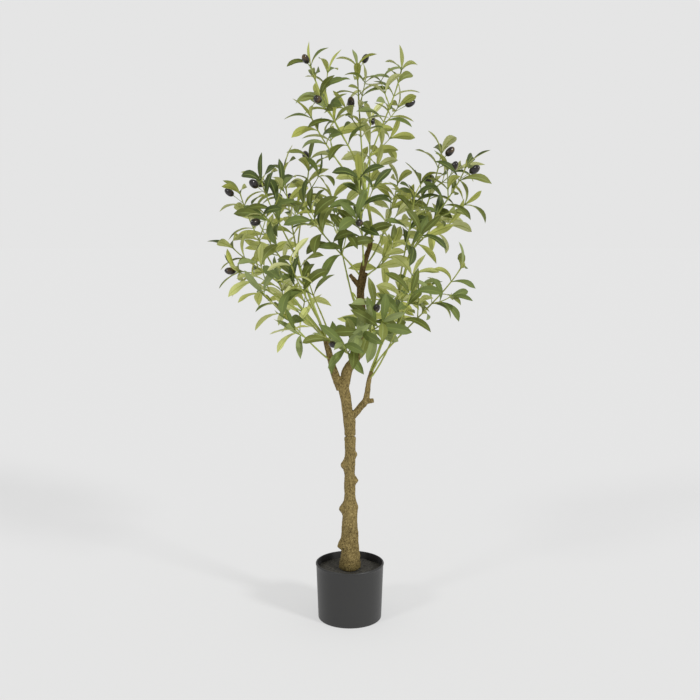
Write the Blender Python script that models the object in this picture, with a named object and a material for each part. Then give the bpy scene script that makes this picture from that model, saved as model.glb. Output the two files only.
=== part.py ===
"""A potted artificial olive tree, 1.2 m tall, in a small round black pot.

A moulded trunk in two pieces forks into three boughs. Plastic stems go on from the
boughs' tips, and each spray of leaves and olives is one solid that grows from one stem
by a seeded rule. Metres, +Z up. The origin is the middle of the pot's flat underside,
and the front of the tree faces -Y. Tables give real sizes in millimetres.
"""

import math
import random

import bmesh
import bpy
import numpy as np
from mathutils import Vector
from mathutils.bvhtree import BVHTree

MM = 0.001
GAP = 0.0003  # between pieces that touch
UP = np.array((0.0, 0.0, 1.0))

# Pot, turned about +Z
POT_HEIGHT = 0.1218
POT_BASE_RADIUS = 0.0678
POT_RIM_RADIUS = 0.0730
POT_WALL = 0.0024
POT_FLOOR = 0.0040
POT_FOOT_BEVEL = 0.0018
POT_FOOT_MIDDLE = 0.3  # share of the bevel where its middle edge runs
LIP_HEIGHT = 0.0042
LIP_OUT = 0.0011
LIP_ROUND = 0.0009
POT_SIDES = 36
POT_CREASE = 40.0  # degrees between faces past which an edge is crisp

# Dark fill that the trunk stands in
FILL_TOP = 0.1075
FILL_CROWN = 0.0012  # how far the fill drops from the trunk to the pot's wall
FILL_FLAT_RADIUS = 0.030  # the level middle, which the trunk stands on

# Limbs: rows of x, y, z and radius in mm, foot to tip
LOWER_TRUNK = (
    (0, 0, 107.8, 23.6),
    (0, 0, 117, 23.2),
    (0.2, 0, 129, 20.6),
    (0.6, 0, 144, 18.4),
    (0.6, 0, 178, 17.5),
    (0.4, 0, 206, 16.7),
    (0.3, 0, 228, 15.7),
    (0, 0, 246, 13.9),
    (-0.2, 0, 262, 12.2),
    (-0.3, 0, 284, 11.3),
    (0, 0, 340, 10.9),
    (0.2, 0, 378, 11.0),
    (0.4, 0, 396.7, 12.0),
)
UPPER_TRUNK = (
    (0.4, 0, 397.0, 11.9),
    (0.4, 0, 412, 12.0),
    (-0.6, 0, 432, 12.6),
    (-5.2, 0, 453, 11.2),
    (-8.2, 0, 474, 10.9),
    (-12.7, 0, 495, 11.6),
    (-17.5, 0, 512, 11.5),
)
LEFT_BOUGH = (
    (-20, 0, 497, 9.0),
    (-27, -1, 518, 8.6),
    (-34, -3, 540, 7.7),
    (-43, -9, 575, 6.6),
    (-51, -15, 607, 5.6),
)
CENTRE_BOUGH = (
    (-14, 0, 490, 10.0),
    (-9.5, 1, 515, 10.6),
    (-4, 2, 538, 10.6),
    (10, 6, 558, 10.0),
    (20, 9, 581, 9.7),
    (26, 10, 612, 8.9),
    (28, 10, 642, 8.6),
    (26, 9, 664, 7.6),
    (22, 6, 694, 7.9),
    (23, 4, 718, 7.2),
    (26, 3, 744, 6.1),
    (33, 4, 770, 5.6),
    (41, 6, 794, 5.2),
    (43.5, 8, 814, 4.4),
)
SIDE_BOUGH = (
    (2, 0, 436, 8.6),
    (12, -4, 447, 7.8),
    (22, -8, 460, 7.2),
    (32, -14, 474, 6.8),
    (36, -18, 492, 6.0),
    (39, -21, 516, 5.0),
    (45, -24, 539, 4.0),
)
# Cut stubs of old branches: foot and tip, each x, y, z and radius in mm
CENTRE_STUBS = (
    ((20, 5, 712, 5.6), (0.5, 0, 737, 3.7)),
    ((23, 4, 696, 5.6), (34, 0, 741, 3.2)),
)
SIDE_STUBS = (((30, -12, 472, 5.2), (49.5, -16, 476, 4.6)),)
# Knots: height in mm, azimuth in degrees (0 is +X, 270 the front), how far one stands
# out and how far it spreads, in mm
LOWER_KNOTS = (
    (160, 180, 10.0, 11),
    (240, 176, 8.4, 10),
    (243, 5, 2.4, 11),
    (301, 0, 7.6, 7.5),
    (335, 182, 8.0, 10),
    (357, 2, 5.0, 7),
    (198, 262, 4.0, 9),
    (276, 95, 5.0, 8),
    (135, 40, 4.0, 11),
    (372, 280, 3.0, 7),
)
UPPER_KNOTS = ((426, 255, 3.0, 8), (470, 100, 3.5, 8))
BOUGH_KNOTS = ((588, 350, 2.4, 8), (640, 175, 1.6, 7), (700, 185, 2.2, 6), (722, 10, 2.0, 6))
KNOT_FOCUS = 6  # how narrow a knot is round the limb
# Share of each bough that is moulded with the trunk
FORK_CUTS = {"left_bough": 0.27, "centre_bough": 0.125, "side_bough": 0.20}
# Unevenness of the bark: rows of depth as a share of the radius, waves round the limb,
# waves up it in radians per metre, and where they start
LIMB_WAVES = ((0.045, 3, 55.0, 0.0), (0.027, 2, -131.0, 1.3))
LIMB_SIDES = 12
BOUGH_SIDES = 10
STUB_SIDES = 6
STUB_RINGS = 3
PATH_POINTS = 160  # dense points on a limb's centre line
RING_SPACING = 0.0118
SLOPE_STEP = 0.002
BARK_CREASE = 50.0

# Green stems that go on from the limbs. Each row: limb, place along it (1 is its tip),
# azimuth of the seat in degrees, tip x, y, z in mm, lift, radius at foot and tip in mm
STEM_SIDES = 6
STEM_RINGS = 10
STEM_CREASE = 60.0
STEMS = {
    "top_stem": ("centre_bough", 1, 0, (30, 12, 926), 0.25, 3.3, 3.0),
    "right_stem": ("side_bough", 1, 60, (123, 18, 771), 0.30, 3.0, 3.0),
    "left_outer_stem": ("left_bough", 1, 215, (-129, -20, 707), 0.10, 2.9, 2.9),
    "left_inner_stem": ("left_bough", 1, 90, (-106, 22, 758), 0.45, 2.9, 2.9),
    "back_stem": ("centre_bough", 0.40, 95, (5, 90, 690), 0.50, 2.9, 2.9),
}

# Sprays. Each row: what carries it, place and azimuth of its seat, tip of its stem in mm,
# lift of that tip, bare share of the stem, number of side twigs and their length in mm,
# olives, seed
SPRAYS = {
    "crown_left": ("top_stem", 1, 200, (-76, -60, 1146), 0.8, 0.30, 3, 72, 2, 11),
    "crown_low_left": ("top_stem", 0.80, 190, (-76, -20, 1050), 0.5, 0.40, 1, 64, 0, 41),
    "crown_middle": ("top_stem", 1, 80, (15, 45, 1160), 0.5, 0.34, 2, 62, 2, 12),
    "crown_right": ("top_stem", 1, 320, (104, 10, 1148), 0.7, 0.46, 2, 60, 1, 51),
    "crown_back": ("top_stem", 0.72, 60, (44, 135, 1058), 0.6, 0.48, 1, 62, 1, 14),
    "inner_right": ("centre_bough", 0.80, 30, (102, 95, 925), 0.7, 0.36, 2, 66, 0, 15),
    "inner_back": ("top_stem", 0.45, 100, (22, 110, 955), 0.5, 0.30, 1, 56, 0, 42),
    "back_right": ("centre_bough", 0.66, 75, (94, 165, 783), 0.5, 0.36, 1, 66, 0, 16),
    "right_outer_upper": ("right_stem", 1, 300, (228, -60, 950), 0.5, 0.42, 2, 66, 2, 17),
    "right_inner_upper": ("right_stem", 1, 60, (190, 50, 984), 0.8, 0.34, 2, 66, 2, 18),
    "right_back": ("right_stem", 1, 180, (182, 130, 842), 0.5, 0.34, 2, 62, 1, 19),
    "right_front_mid": ("right_stem", 0.72, 240, (128, -60, 892), 0.5, 0.42, 2, 60, 0, 43),
    "right_outer_low": ("side_bough", 1, 320, (220, -70, 752), 0.3, 0.48, 2, 62, 0, 20),
    "right_inner_low": ("side_bough", 1, 180, (126, -40, 736), 0.3, 0.50, 1, 60, 0, 21),
    "right_front_low": ("side_bough", 0.86, 300, (118, -112, 702), 0.3, 0.45, 0, 56, 0, 22),
    "right_back_low": ("back_stem", 0.75, 10, (121, 165, 671), 0.1, 0.45, 2, 64, 1, 23),
    "front_left": ("centre_bough", 0.06, 262, (-12, -165, 612), 0.2, 0.50, 2, 52, 2, 24),
    "front_right": ("centre_bough", 0.28, 285, (62, -160, 654), 0.2, 0.32, 2, 56, 2, 25),
    "left_low_front": ("left_bough", 0.45, 215, (-168, -105, 704), 0.0, 0.32, 2, 62, 0, 26),
    "left_low_outer": ("left_outer_stem", 0.55, 225, (-224, -16, 742), 0.0, 0.42, 1, 60, 0, 27),
    "left_low_back": ("left_bough", 0.85, 110, (-138, 150, 673), 0.1, 0.46, 1, 64, 1, 28),
    "left_front": ("left_bough", 1, 320, (-112, -135, 760), 0.3, 0.54, 2, 60, 0, 29),
    "left_outer_mid": ("left_outer_stem", 1, 240, (-240, 10, 790), 0.2, 0.36, 2, 56, 1, 30),
    "left_outer_upper": ("left_outer_stem", 1, 60, (-230, 60, 902), 0.6, 0.45, 2, 56, 2, 31),
    "left_back_upper": ("left_inner_stem", 0.70, 120, (-198, 155, 838), 0.4, 0.42, 1, 64, 1, 32),
    "left_upper": ("left_inner_stem", 1, 240, (-172, -80, 920), 0.5, 0.40, 2, 58, 2, 33),
    "left_inner_upper": ("left_inner_stem", 1, 0, (-136, 30, 945), 0.5, 0.30, 2, 62, 2, 34),
    "inner_high": ("left_inner_stem", 1, 120, (-86, 105, 976), 0.6, 0.40, 2, 62, 2, 35),
    "inner_left": ("left_bough", 0.80, 350, (-82, -60, 728), 0.5, 0.62, 0, 50, 0, 36),
    "centre_upper_left": ("centre_bough", 0.72, 200, (-86, -105, 872), 0.5, 0.22, 2, 60, 0, 37),
    "centre_front": ("centre_bough", 0.79, 255, (18, -90, 925), 0.5, 0.34, 2, 60, 1, 38),
    "centre_back": ("back_stem", 1, 120, (-38, 150, 890), 0.5, 0.48, 1, 66, 1, 39),
    "low_back": ("back_stem", 1, 300, (52, 165, 606), -0.1, 0.50, 1, 60, 0, 40),
}

SEAT_PROBES = 12  # places round a stem's foot where the limb's skin is felt
SEAT_REACH = 0.004
SEAT_SLOPE_STEP = 0.004
TIP_SEAT_BACK = 0.002  # a seat on a limb's tip is sought from this far back
TIP_SEAT_OUT = 0.60  # and this share of the radius out from its middle

# Directions that no limb, stem, twig or olive runs along, to turn sections from
ACROSS_LIMBS = (1.0, 0.0, 0.0)
ACROSS_TUBES = (0.3, -1.0, 0.2)
ACROSS_SEATS = (0.3, 0.5, 0.8)
ACROSS_OLIVES = (0.21, 0.35, 0.91)
ACROSS_STALKS = (0.9, 0.2, 0.4)

# Growth rule of a spray, lengths in metres. Values in pairs are ranges drawn from
STEM_FOOT_RADIUS = 0.00115
STEM_TIP_RADIUS = 0.0008
TWIG_ROOT_RADIUS = 0.00095
TWIG_TIP_RADIUS = 0.00075
START_PULL = 0.55  # how straight a stem leaves its seat
END_PULL = 0.9  # how straight it reaches its tip
SPRAY_RINGS = 7  # of a spray's stem
TWIG_RINGS = 3
TWIG_SIDES = 3
TWIG_FIRST = 0.3  # how far into its own stretch of the stem each side twig leaves
TWIG_LAST = 0.84  # share of the stem before which the side twigs leave
TWIG_SHIFT = (-0.04, 0.04)
TWIG_ANGLE = (36.0, 50.0)  # degrees from the stem
TWIG_REACH = (0.9, 1.1)
TWIG_SHORTEN = 0.35
TWIG_RISE = 0.22
TWIG_LIFT = 0.25
GOLDEN_TURN = 137.5
TURN_SHIFT = (-15.0, 15.0)
TWIG_ROOT_SHARE = 0.25  # share of a twig's first half that may touch its own stem
BARE_TWIG = 0.35  # share of a side twig without leaves
PAIR_SPACING = 0.041
SPACING_SHARE = (0.88, 1.14)
PAIR_TURN = 90.0  # degrees from one pair to the next
PAIR_TURN_SHIFT = (-20.0, 20.0)
LEAF_SEED = 1000  # added to a spray's seed for its leaves and olives
LEAF_LENGTH = 0.080
LENGTH_SHARE = (0.88, 1.08)
LEAF_SLENDER = 0.28  # width to length
WIDTH_SHARE = (0.92, 1.08)
LEAF_ANGLE = (29.0, 43.0)  # degrees from the twig
ANGLE_GAIN = 4.0  # degrees that each pair further from the end leans out
ANGLE_PAIRS = 3  # up to this many pairs
LEAF_SPIN_SHIFT = (-14.0, 14.0)
LEAF_CURL = (48.0, 92.0)  # degrees that a leaf bends from root to tip
LEAF_FOLD = 0.05  # how far a leaf's edges stand over its midrib, to its width
LEAF_KEEL = 0.0006
LEAF_KEEL_PLACE = 0.56
LEAF_STATIONS = (0.40, 0.71)  # shares of the length where its width is set
LEAF_HALF_WIDTHS = (0.45, 0.50)  # shares of the width there
END_LEAF = 0.82  # size of the leaves at a twig's end
END_PAIRS = 2  # pairs over which they reach full size
END_LEAN = 0.3  # a twig's last leaf goes on almost straight
END_CURL = 0.6
ROOT_STEPS = (0.0026, 0.0044, 0.0007)  # how far the leaves of a pair, and a last leaf, sit back
LEAF_TRIES = 7
TRY_TURN = 23.0
OLIVE_LENGTH = (0.018, 0.0245)
OLIVE_SLENDER = 0.64
OLIVE_STALK = (0.013, 0.020)
OLIVE_PLACE = (0.75, 0.95)  # how far back from the twig's end, to the spacing of the pairs
OLIVE_LEAN = (0.80, 0.60)  # how far its stalk goes on with the twig, and out from it
OLIVE_FULLNESS = 1.09  # its flat faces stand out to keep the round olive's volume
STALK_IN_OLIVE = 0.3  # share of the olive that its stalk reaches into
OLIVE_RINGS = (-0.42, 0.42)  # heights of an olive's rings, to its half length
OLIVE_SIDES = 6
STALK_RADIUS = 0.0007
CLEAR_OF_OTHERS = 0.0010
CLEAR_OF_OWN = 0.0005
OWN_ROOT_SHARE = 0.30  # share of a leaf that may touch its own spray
SCRAP = 0.2  # a loose body under this share of its node is dropped

LEAF_GREEN = (0.13, 0.20, 0.055, 1)
STEM_GREEN = (0.24, 0.28, 0.07, 1)
BARK = (0.23, 0.16, 0.07, 1)
POT_BLACK = (0.042, 0.042, 0.040, 1)
FILL_DARK = (0.022, 0.021, 0.020, 1)
LEAF_ROUGHNESS = 0.6
STEM_ROUGHNESS = 0.5
BARK_ROUGHNESS = 0.85
POT_ROUGHNESS = 0.42
FILL_ROUGHNESS = 0.9


def unit(vector):
    return vector / np.linalg.norm(vector)


def material(name, colour, roughness):
    """A Principled material of one colour."""
    mat = bpy.data.materials.new(name)
    mat.use_nodes = True
    shader = mat.node_tree.nodes["Principled BSDF"]
    shader.inputs["Base Color"].default_value = colour
    shader.inputs["Roughness"].default_value = roughness
    shader.inputs["Metallic"].default_value = 0.0
    return mat


def add_object(name, verts, faces):
    """A mesh object whose faces point out."""
    mesh = bpy.data.meshes.new(name)
    mesh.from_pydata([tuple(v) for v in verts], [], faces)
    work = bmesh.new()
    work.from_mesh(mesh)
    bmesh.ops.recalc_face_normals(work, faces=work.faces)
    work.to_mesh(mesh)
    work.free()
    obj = bpy.data.objects.new(name, mesh)
    bpy.context.scene.collection.objects.link(obj)
    return obj


def finish(obj, colour, roughness, crease=None):
    """Gives an object its own material and, when crease is an angle, smooth shading."""
    obj.data.materials.clear()
    obj.data.materials.append(material(obj.name + "_material", colour, roughness))
    if crease:
        obj.data.shade_smooth()
        obj.data.set_sharp_from_angle(angle=math.radians(crease))


def turned(profile, sides):
    """A solid turned about +Z: rings of (radius, z), where a radius of 0 is a pole."""
    verts, faces, rings = [], [], []
    for radius, z in profile:
        if radius == 0:
            rings.append([len(verts)])
            verts.append((0.0, 0.0, z))
            continue
        rings.append(list(range(len(verts), len(verts) + sides)))
        for k in range(sides):
            angle = 2 * math.pi * k / sides
            verts.append((radius * math.cos(angle), radius * math.sin(angle), z))
    for low, high in zip(rings, rings[1:]):
        for k in range(sides):
            after = (k + 1) % sides
            if len(low) == 1:
                faces.append((low[0], high[after], high[k]))
            elif len(high) == 1:
                faces.append((low[k], low[after], high[0]))
            else:
                faces.append((low[k], low[after], high[after], high[k]))
    return verts, faces


def smooth_path(stations):
    """Dense points and radii on a Catmull-Rom curve through (x, y, z, radius) rows in mm."""
    rows = np.array(stations, dtype=float) * MM
    rows = np.vstack((2 * rows[0] - rows[1], rows, 2 * rows[-1] - rows[-2]))
    steps = np.sqrt(np.linalg.norm(np.diff(rows[:, :3], axis=0), axis=1))
    knots = np.concatenate(([0.0], np.cumsum(steps)))
    wanted = np.linspace(knots[1], knots[-2], PATH_POINTS)
    out = []
    for t in wanted:
        k = min(max(int(np.searchsorted(knots, t, side="right")) - 1, 1), len(rows) - 3)
        t0, t1, t2, t3 = knots[k - 1 : k + 3]
        a, b, c, d = rows[k - 1 : k + 3]
        ab = (t1 - t) / (t1 - t0) * a + (t - t0) / (t1 - t0) * b
        bc = (t2 - t) / (t2 - t1) * b + (t - t1) / (t2 - t1) * c
        cd = (t3 - t) / (t3 - t2) * c + (t - t2) / (t3 - t2) * d
        abc = (t2 - t) / (t2 - t0) * ab + (t - t0) / (t2 - t0) * bc
        bcd = (t3 - t) / (t3 - t1) * bc + (t - t1) / (t3 - t1) * cd
        out.append((t2 - t) / (t2 - t1) * abc + (t - t1) / (t2 - t1) * bcd)
    out = np.array(out)
    return out[:, :3], out[:, 3]


def lengths_along(points):
    return np.concatenate(([0.0], np.cumsum(np.linalg.norm(np.diff(points, axis=0), axis=1))))


def places_along(points, wanted):
    """Points at given lengths along a path."""
    along = lengths_along(points)
    return np.stack([np.interp(wanted, along, points[:, k]) for k in range(3)], axis=1)


def cut_path(points, radii, start, end, spacing):
    """Places, radii and directions of rings on the stretch of a path between two lengths."""
    along = lengths_along(points)
    count = max(2, int(round((end - start) / spacing)) + 1)
    wanted = np.linspace(start, end, count)
    ahead = places_along(points, np.minimum(wanted + SLOPE_STEP, along[-1]))
    behind = places_along(points, np.maximum(wanted - SLOPE_STEP, 0.0))
    ways = ahead - behind
    ways /= np.linalg.norm(ways, axis=1)[:, None]
    return places_along(points, wanted), np.interp(wanted, along, radii), ways


def frames(points, towards=ACROSS_LIMBS, first=None):
    """Tangents and two cross directions at each point, turned as little as possible. The
    first tangent can be given, so that a foot stands flat on its seat."""
    tangents = np.gradient(points, axis=0)
    if first is not None:
        tangents[0] = first
    tangents /= np.linalg.norm(tangents, axis=1)[:, None]
    side = np.array(towards, dtype=float)
    sides = []
    for tangent in tangents:
        side = side - np.dot(side, tangent) * tangent
        side = unit(side)
        sides.append(side)
    sides = np.array(sides)
    return tangents, sides, np.cross(tangents, sides)


def knot_relief(heights, angle, knots):
    """How far knots push a limb's skin out at each height, on one angle round it."""
    out = np.zeros(len(heights))
    for height, azimuth, size, spread in knots:
        turn = max(0.0, math.cos(angle - math.radians(azimuth))) ** KNOT_FOCUS
        out += size * MM * turn * np.exp(-(((heights - height * MM) / (spread * MM)) ** 2))
    return out


def limb_mesh(points, radii, ways, sides, knots=()):
    """A limb of closed rings with flat cut ends and knots. Its skin is uneven by a sum of
    sine waves of the angle round it and the height."""
    across = np.array(ACROSS_LIMBS) - (ways @ np.array(ACROSS_LIMBS))[:, None] * ways
    across /= np.linalg.norm(across, axis=1)[:, None]
    back = np.cross(ways, across)
    columns = []
    for k in range(sides):
        angle = 2 * math.pi * k / sides
        ripple = np.ones(len(points))
        for depth, turns, rise, start in LIMB_WAVES:
            ripple += depth * np.sin(turns * angle + rise * points[:, 2] + start)
        radius = radii * ripple + knot_relief(points[:, 2], angle, knots)
        outward = math.cos(angle) * across + math.sin(angle) * back
        columns.append(points + radius[:, None] * outward)
    verts = np.stack(columns, axis=1).reshape(-1, 3)
    return verts, ring_faces(len(points), sides)


def ring_faces(rings, sides):
    faces = []
    for i in range(rings - 1):
        for k in range(sides):
            after = (k + 1) % sides
            low, high = i * sides, (i + 1) * sides
            faces.append((low + k, low + after, high + after))
            faces.append((low + k, high + after, high + k))
    faces.append(tuple(range(sides - 1, -1, -1)))
    faces.append(tuple(range((rings - 1) * sides, rings * sides)))
    return faces


def tube_mesh(points, radii, sides, first=None, towards=ACROSS_TUBES):
    """A plain tube with flat cut ends."""
    _, across, back = frames(points, towards, first)
    angles = 2 * np.pi * np.arange(sides) / sides
    ring = np.cos(angles)[None, :, None] * across[:, None]
    ring = ring + np.sin(angles)[None, :, None] * back[:, None]
    verts = points[:, None] + np.asarray(radii)[:, None, None] * ring
    return verts.reshape(-1, 3), ring_faces(len(points), sides)


def fuse(obj, others):
    """Joins other objects to one by a single Boolean union on a collection, and keeps the
    main body."""
    group = bpy.data.collections.new("fused")
    bpy.context.scene.collection.children.link(group)
    for other in others:
        for home in list(other.users_collection):
            home.objects.unlink(other)
        group.objects.link(other)
    union = obj.modifiers.new("union", "BOOLEAN")
    union.operation = "UNION"
    union.operand_type = "COLLECTION"
    union.collection = group
    union.solver = "EXACT"
    bpy.context.view_layer.update()
    evaluated = obj.evaluated_get(bpy.context.evaluated_depsgraph_get())
    shape = bpy.data.meshes.new_from_object(evaluated)
    obj.modifiers.clear()
    obj.data = shape
    for other in list(group.objects):
        bpy.data.objects.remove(other)
    bpy.data.collections.remove(group)
    keep_main_body(obj)
    return obj


def keep_main_body(obj):
    """Drops loose scraps and sealed hollows that a union leaves."""
    work = bmesh.new()
    work.from_mesh(obj.data)
    left = set(work.faces)
    bodies = []
    while left:
        start = left.pop()
        body, edge_of_search = [start], [start]
        while edge_of_search:
            face = edge_of_search.pop()
            for edge in face.edges:
                for near in edge.link_faces:
                    if near in left:
                        left.remove(near)
                        body.append(near)
                        edge_of_search.append(near)
        bodies.append(body)
    bodies.sort(key=len, reverse=True)
    for body in bodies[1:]:
        if len(body) > SCRAP * len(bodies[0]):
            print("large loose body in", obj.name, len(body), "of", len(bodies[0]))
        bmesh.ops.delete(work, geom=body, context="FACES")
    loose = [v for v in work.verts if not v.link_faces]
    bmesh.ops.delete(work, geom=loose, context="VERTS")
    work.to_mesh(obj.data)
    work.free()


class Limb:
    """A limb's centre line, with the plain skin that stems are seated on."""

    def __init__(self, points, radii, verts, faces):
        self.points = points
        self.radii = radii
        self.along = lengths_along(points)
        self.tree = BVHTree.FromPolygons([tuple(v) for v in verts], faces)

    def at(self, share):
        """Point and direction at a share of the limb's length."""
        where = share * self.along[-1]
        near = max(0.0, where - SEAT_SLOPE_STEP)
        far = min(self.along[-1], where + SEAT_SLOPE_STEP)
        point = np.array([np.interp(where, self.along, self.points[:, k]) for k in range(3)])
        a = np.array([np.interp(near, self.along, self.points[:, k]) for k in range(3)])
        b = np.array([np.interp(far, self.along, self.points[:, k]) for k in range(3)])
        return point, unit(b - a)

    def seat(self, share, azimuth, radius):
        """Where a stem's foot of this radius stands, just clear of all of the limb's skin under
        it, and the skin's direction there."""
        point, along = self.at(share)
        angle = math.radians(azimuth)
        outward = np.array((math.cos(angle), math.sin(angle), 0.0))
        outward = unit(outward - np.dot(outward, along) * along)
        way = outward
        if share >= 1:
            point = point - TIP_SEAT_BACK * along + TIP_SEAT_OUT * self.radii[-1] * outward
            way = along
        place, normal, _, _ = self.tree.ray_cast(Vector(point), Vector(way))
        normal = np.array(normal)
        if np.dot(normal, way) < 0:
            normal = -normal
        place = np.array(place)
        across = unit(np.cross(normal, ACROSS_SEATS))
        back = np.cross(normal, across)
        highest = 0.0
        for k in range(SEAT_PROBES):
            angle = 2 * math.pi * k / SEAT_PROBES
            probe = place + radius * (math.cos(angle) * across + math.sin(angle) * back)
            probe = probe + SEAT_REACH * normal
            hit, _, _, _ = self.tree.ray_cast(Vector(probe), Vector(-normal), 2 * SEAT_REACH)
            if hit is not None:
                highest = max(highest, np.dot(np.array(hit) - place, normal))
        return place + (GAP + highest) * normal, normal


def stem_path(foot, start, tip, lift, count):
    """A cubic from foot to tip that leaves along start and arrives bent up by lift:
    p(t) = h0 foot + h1 m0 + h2 tip + h3 m1, the four Hermite weights of t."""
    span = tip - foot
    length = np.linalg.norm(span)
    m0 = unit(start) * length * START_PULL
    m1 = unit(span / length + lift * UP) * length * END_PULL
    t = np.linspace(0.0, 1.0, count)[:, None]
    return (
        (2 * t**3 - 3 * t**2 + 1) * foot
        + (t**3 - 2 * t**2 + t) * m0
        + (3 * t**2 - 2 * t**3) * tip
        + (t**3 - t**2) * m1
    )


def leaf_line(leaf, share):
    """A leaf's midrib: root + L / c (sin(c s) along - (1 - cos(c s)) up), and its upper side there."""
    root, along, up, length, _, curl = leaf
    turn = curl * share
    place = root + length / curl * (math.sin(turn) * along - (1 - math.cos(turn)) * up)
    return place, math.sin(turn) * along + math.cos(turn) * up


def leaf_mesh(leaf, margin=0.0, first=0.0):
    """A leaf of ten faces: six points round its outline, and one under its midrib."""
    _, along, up, _, width, _ = leaf
    side = np.cross(along, up)
    root, _ = leaf_line(leaf, first)
    verts = [root]
    for station, half in zip(LEAF_STATIONS, LEAF_HALF_WIDTHS):
        place, normal = leaf_line(leaf, station)
        reach = half * width + margin
        rise = (LEAF_FOLD * width + margin) * normal
        verts.append(place + reach * side + rise)
        verts.append(place - reach * side + rise)
    tip, _ = leaf_line(leaf, 1.0)
    keel, normal = leaf_line(leaf, LEAF_KEEL_PLACE)
    verts.append(tip)
    verts.append(keel - (LEAF_KEEL + margin) * normal)
    faces = [(0, 2, 1), (1, 2, 4), (1, 4, 3), (3, 4, 5)]
    faces += [(0, 1, 6), (1, 3, 6), (3, 5, 6), (5, 4, 6), (4, 2, 6), (2, 0, 6)]
    return verts, faces


def olive_mesh(olive, margin=0.0):
    """An olive of three rings and two poles."""
    foot, way, stalk, length, width = olive
    across = unit(np.cross(way, ACROSS_OLIVES))
    back = np.cross(way, across)
    middle = foot + (stalk + length / 2) * way
    verts = [middle - (length / 2 + margin) * way]
    for height in OLIVE_RINGS:
        radius = (width / 2) * math.sqrt(1 - height * height) * OLIVE_FULLNESS + margin
        for k in range(OLIVE_SIDES):
            angle = 2 * math.pi * k / OLIVE_SIDES
            outward = math.cos(angle) * across + math.sin(angle) * back
            verts.append(middle + height * length / 2 * way + radius * outward)
    verts.append(middle + (length / 2 + margin) * way)
    faces = []
    last = len(verts) - 1
    for k in range(OLIVE_SIDES):
        after = (k + 1) % OLIVE_SIDES
        faces.append((0, 1 + after, 1 + k))
        for ring in range(len(OLIVE_RINGS) - 1):
            low = 1 + ring * OLIVE_SIDES
            high = low + OLIVE_SIDES
            faces.append((low + k, low + after, high + after, high + k))
        top = 1 + (len(OLIVE_RINGS) - 1) * OLIVE_SIDES
        faces.append((last, top + k, top + after))
    return verts, faces


def stalk_mesh(olive, margin=0.0):
    """The three-sided stalk from a twig's middle into its olive."""
    foot, way, stalk, length, _ = olive
    points = np.array([foot, foot + (stalk + STALK_IN_OLIVE * length) * way])
    radius = STALK_RADIUS + margin
    return tube_mesh(points, [radius, radius], TWIG_SIDES, None, ACROSS_STALKS)


class Taken:
    """What already stands in the crown, as (owner, own part, middle, reach, tree). A leaf
    is in it twice: whole for other sprays, and its outer part for its own spray."""

    def __init__(self):
        self.things = []

    def add(self, owner, twig, verts, faces, outer=False):
        verts = np.asarray(verts)
        middle = verts.mean(axis=0)
        reach = np.linalg.norm(verts - middle, axis=1).max()
        tree = BVHTree.FromPolygons([tuple(v) for v in verts], faces)
        self.things.append((owner, twig, outer, middle, reach, tree))

    def meets(self, verts, faces, skip):
        """Whether a shape meets anything that skip(owner, twig, outer) doesn't leave out."""
        verts = np.asarray(verts)
        middle = verts.mean(axis=0)
        reach = np.linalg.norm(verts - middle, axis=1).max()
        tree = BVHTree.FromPolygons([tuple(v) for v in verts], faces)
        for owner, twig, outer, centre, size, other in self.things:
            if skip(owner, twig, outer):
                continue
            if np.linalg.norm(centre - middle) < reach + size and tree.overlap(other):
                return True
        return False


def trunk_limbs():
    """The moulded trunk and boughs, as paths: whole ones and where each is cut."""
    paths = {}
    for name, rows in (
        ("lower_trunk", LOWER_TRUNK),
        ("upper_trunk", UPPER_TRUNK),
        ("left_bough", LEFT_BOUGH),
        ("centre_bough", CENTRE_BOUGH),
        ("side_bough", SIDE_BOUGH),
    ):
        paths[name] = smooth_path(rows)
    return paths


def limb_pieces(paths):
    """Each limb's own stretch beyond its cut, with its mesh."""
    limbs = {}
    for name, cut in FORK_CUTS.items():
        points, radii = paths[name]
        knots = BOUGH_KNOTS if name == "centre_bough" else ()
        whole = lengths_along(points)[-1]
        start = cut * whole + GAP / 2
        points, radii, ways = cut_path(points, radii, start, whole, RING_SPACING)
        verts, faces = limb_mesh(points, radii, ways, BOUGH_SIDES, knots)
        limbs[name] = (Limb(points, radii, verts, faces), verts, faces)
    return limbs


def stub_mesh(stub):
    rows = np.array(stub, dtype=float) * MM
    points = np.linspace(rows[0, :3], rows[1, :3], STUB_RINGS)
    radii = np.linspace(rows[0, 3], rows[1, 3], STUB_RINGS)
    return tube_mesh(points, radii, STUB_SIDES)


def lay_stems(limbs):
    """The green stems that go on from the limbs."""
    for name, row in STEMS.items():
        carrier, place, azimuth, tip, lift, foot_radius, tip_radius = row
        foot, normal = limbs[carrier][0].seat(place, azimuth, foot_radius * MM)
        points = stem_path(foot, normal, np.array(tip) * MM, lift, STEM_RINGS)
        radii = np.linspace(foot_radius, tip_radius, len(points)) * MM
        verts, faces = tube_mesh(points, radii, STEM_SIDES, normal)
        limbs[name] = (Limb(points, radii, verts, faces), verts, faces)


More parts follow.
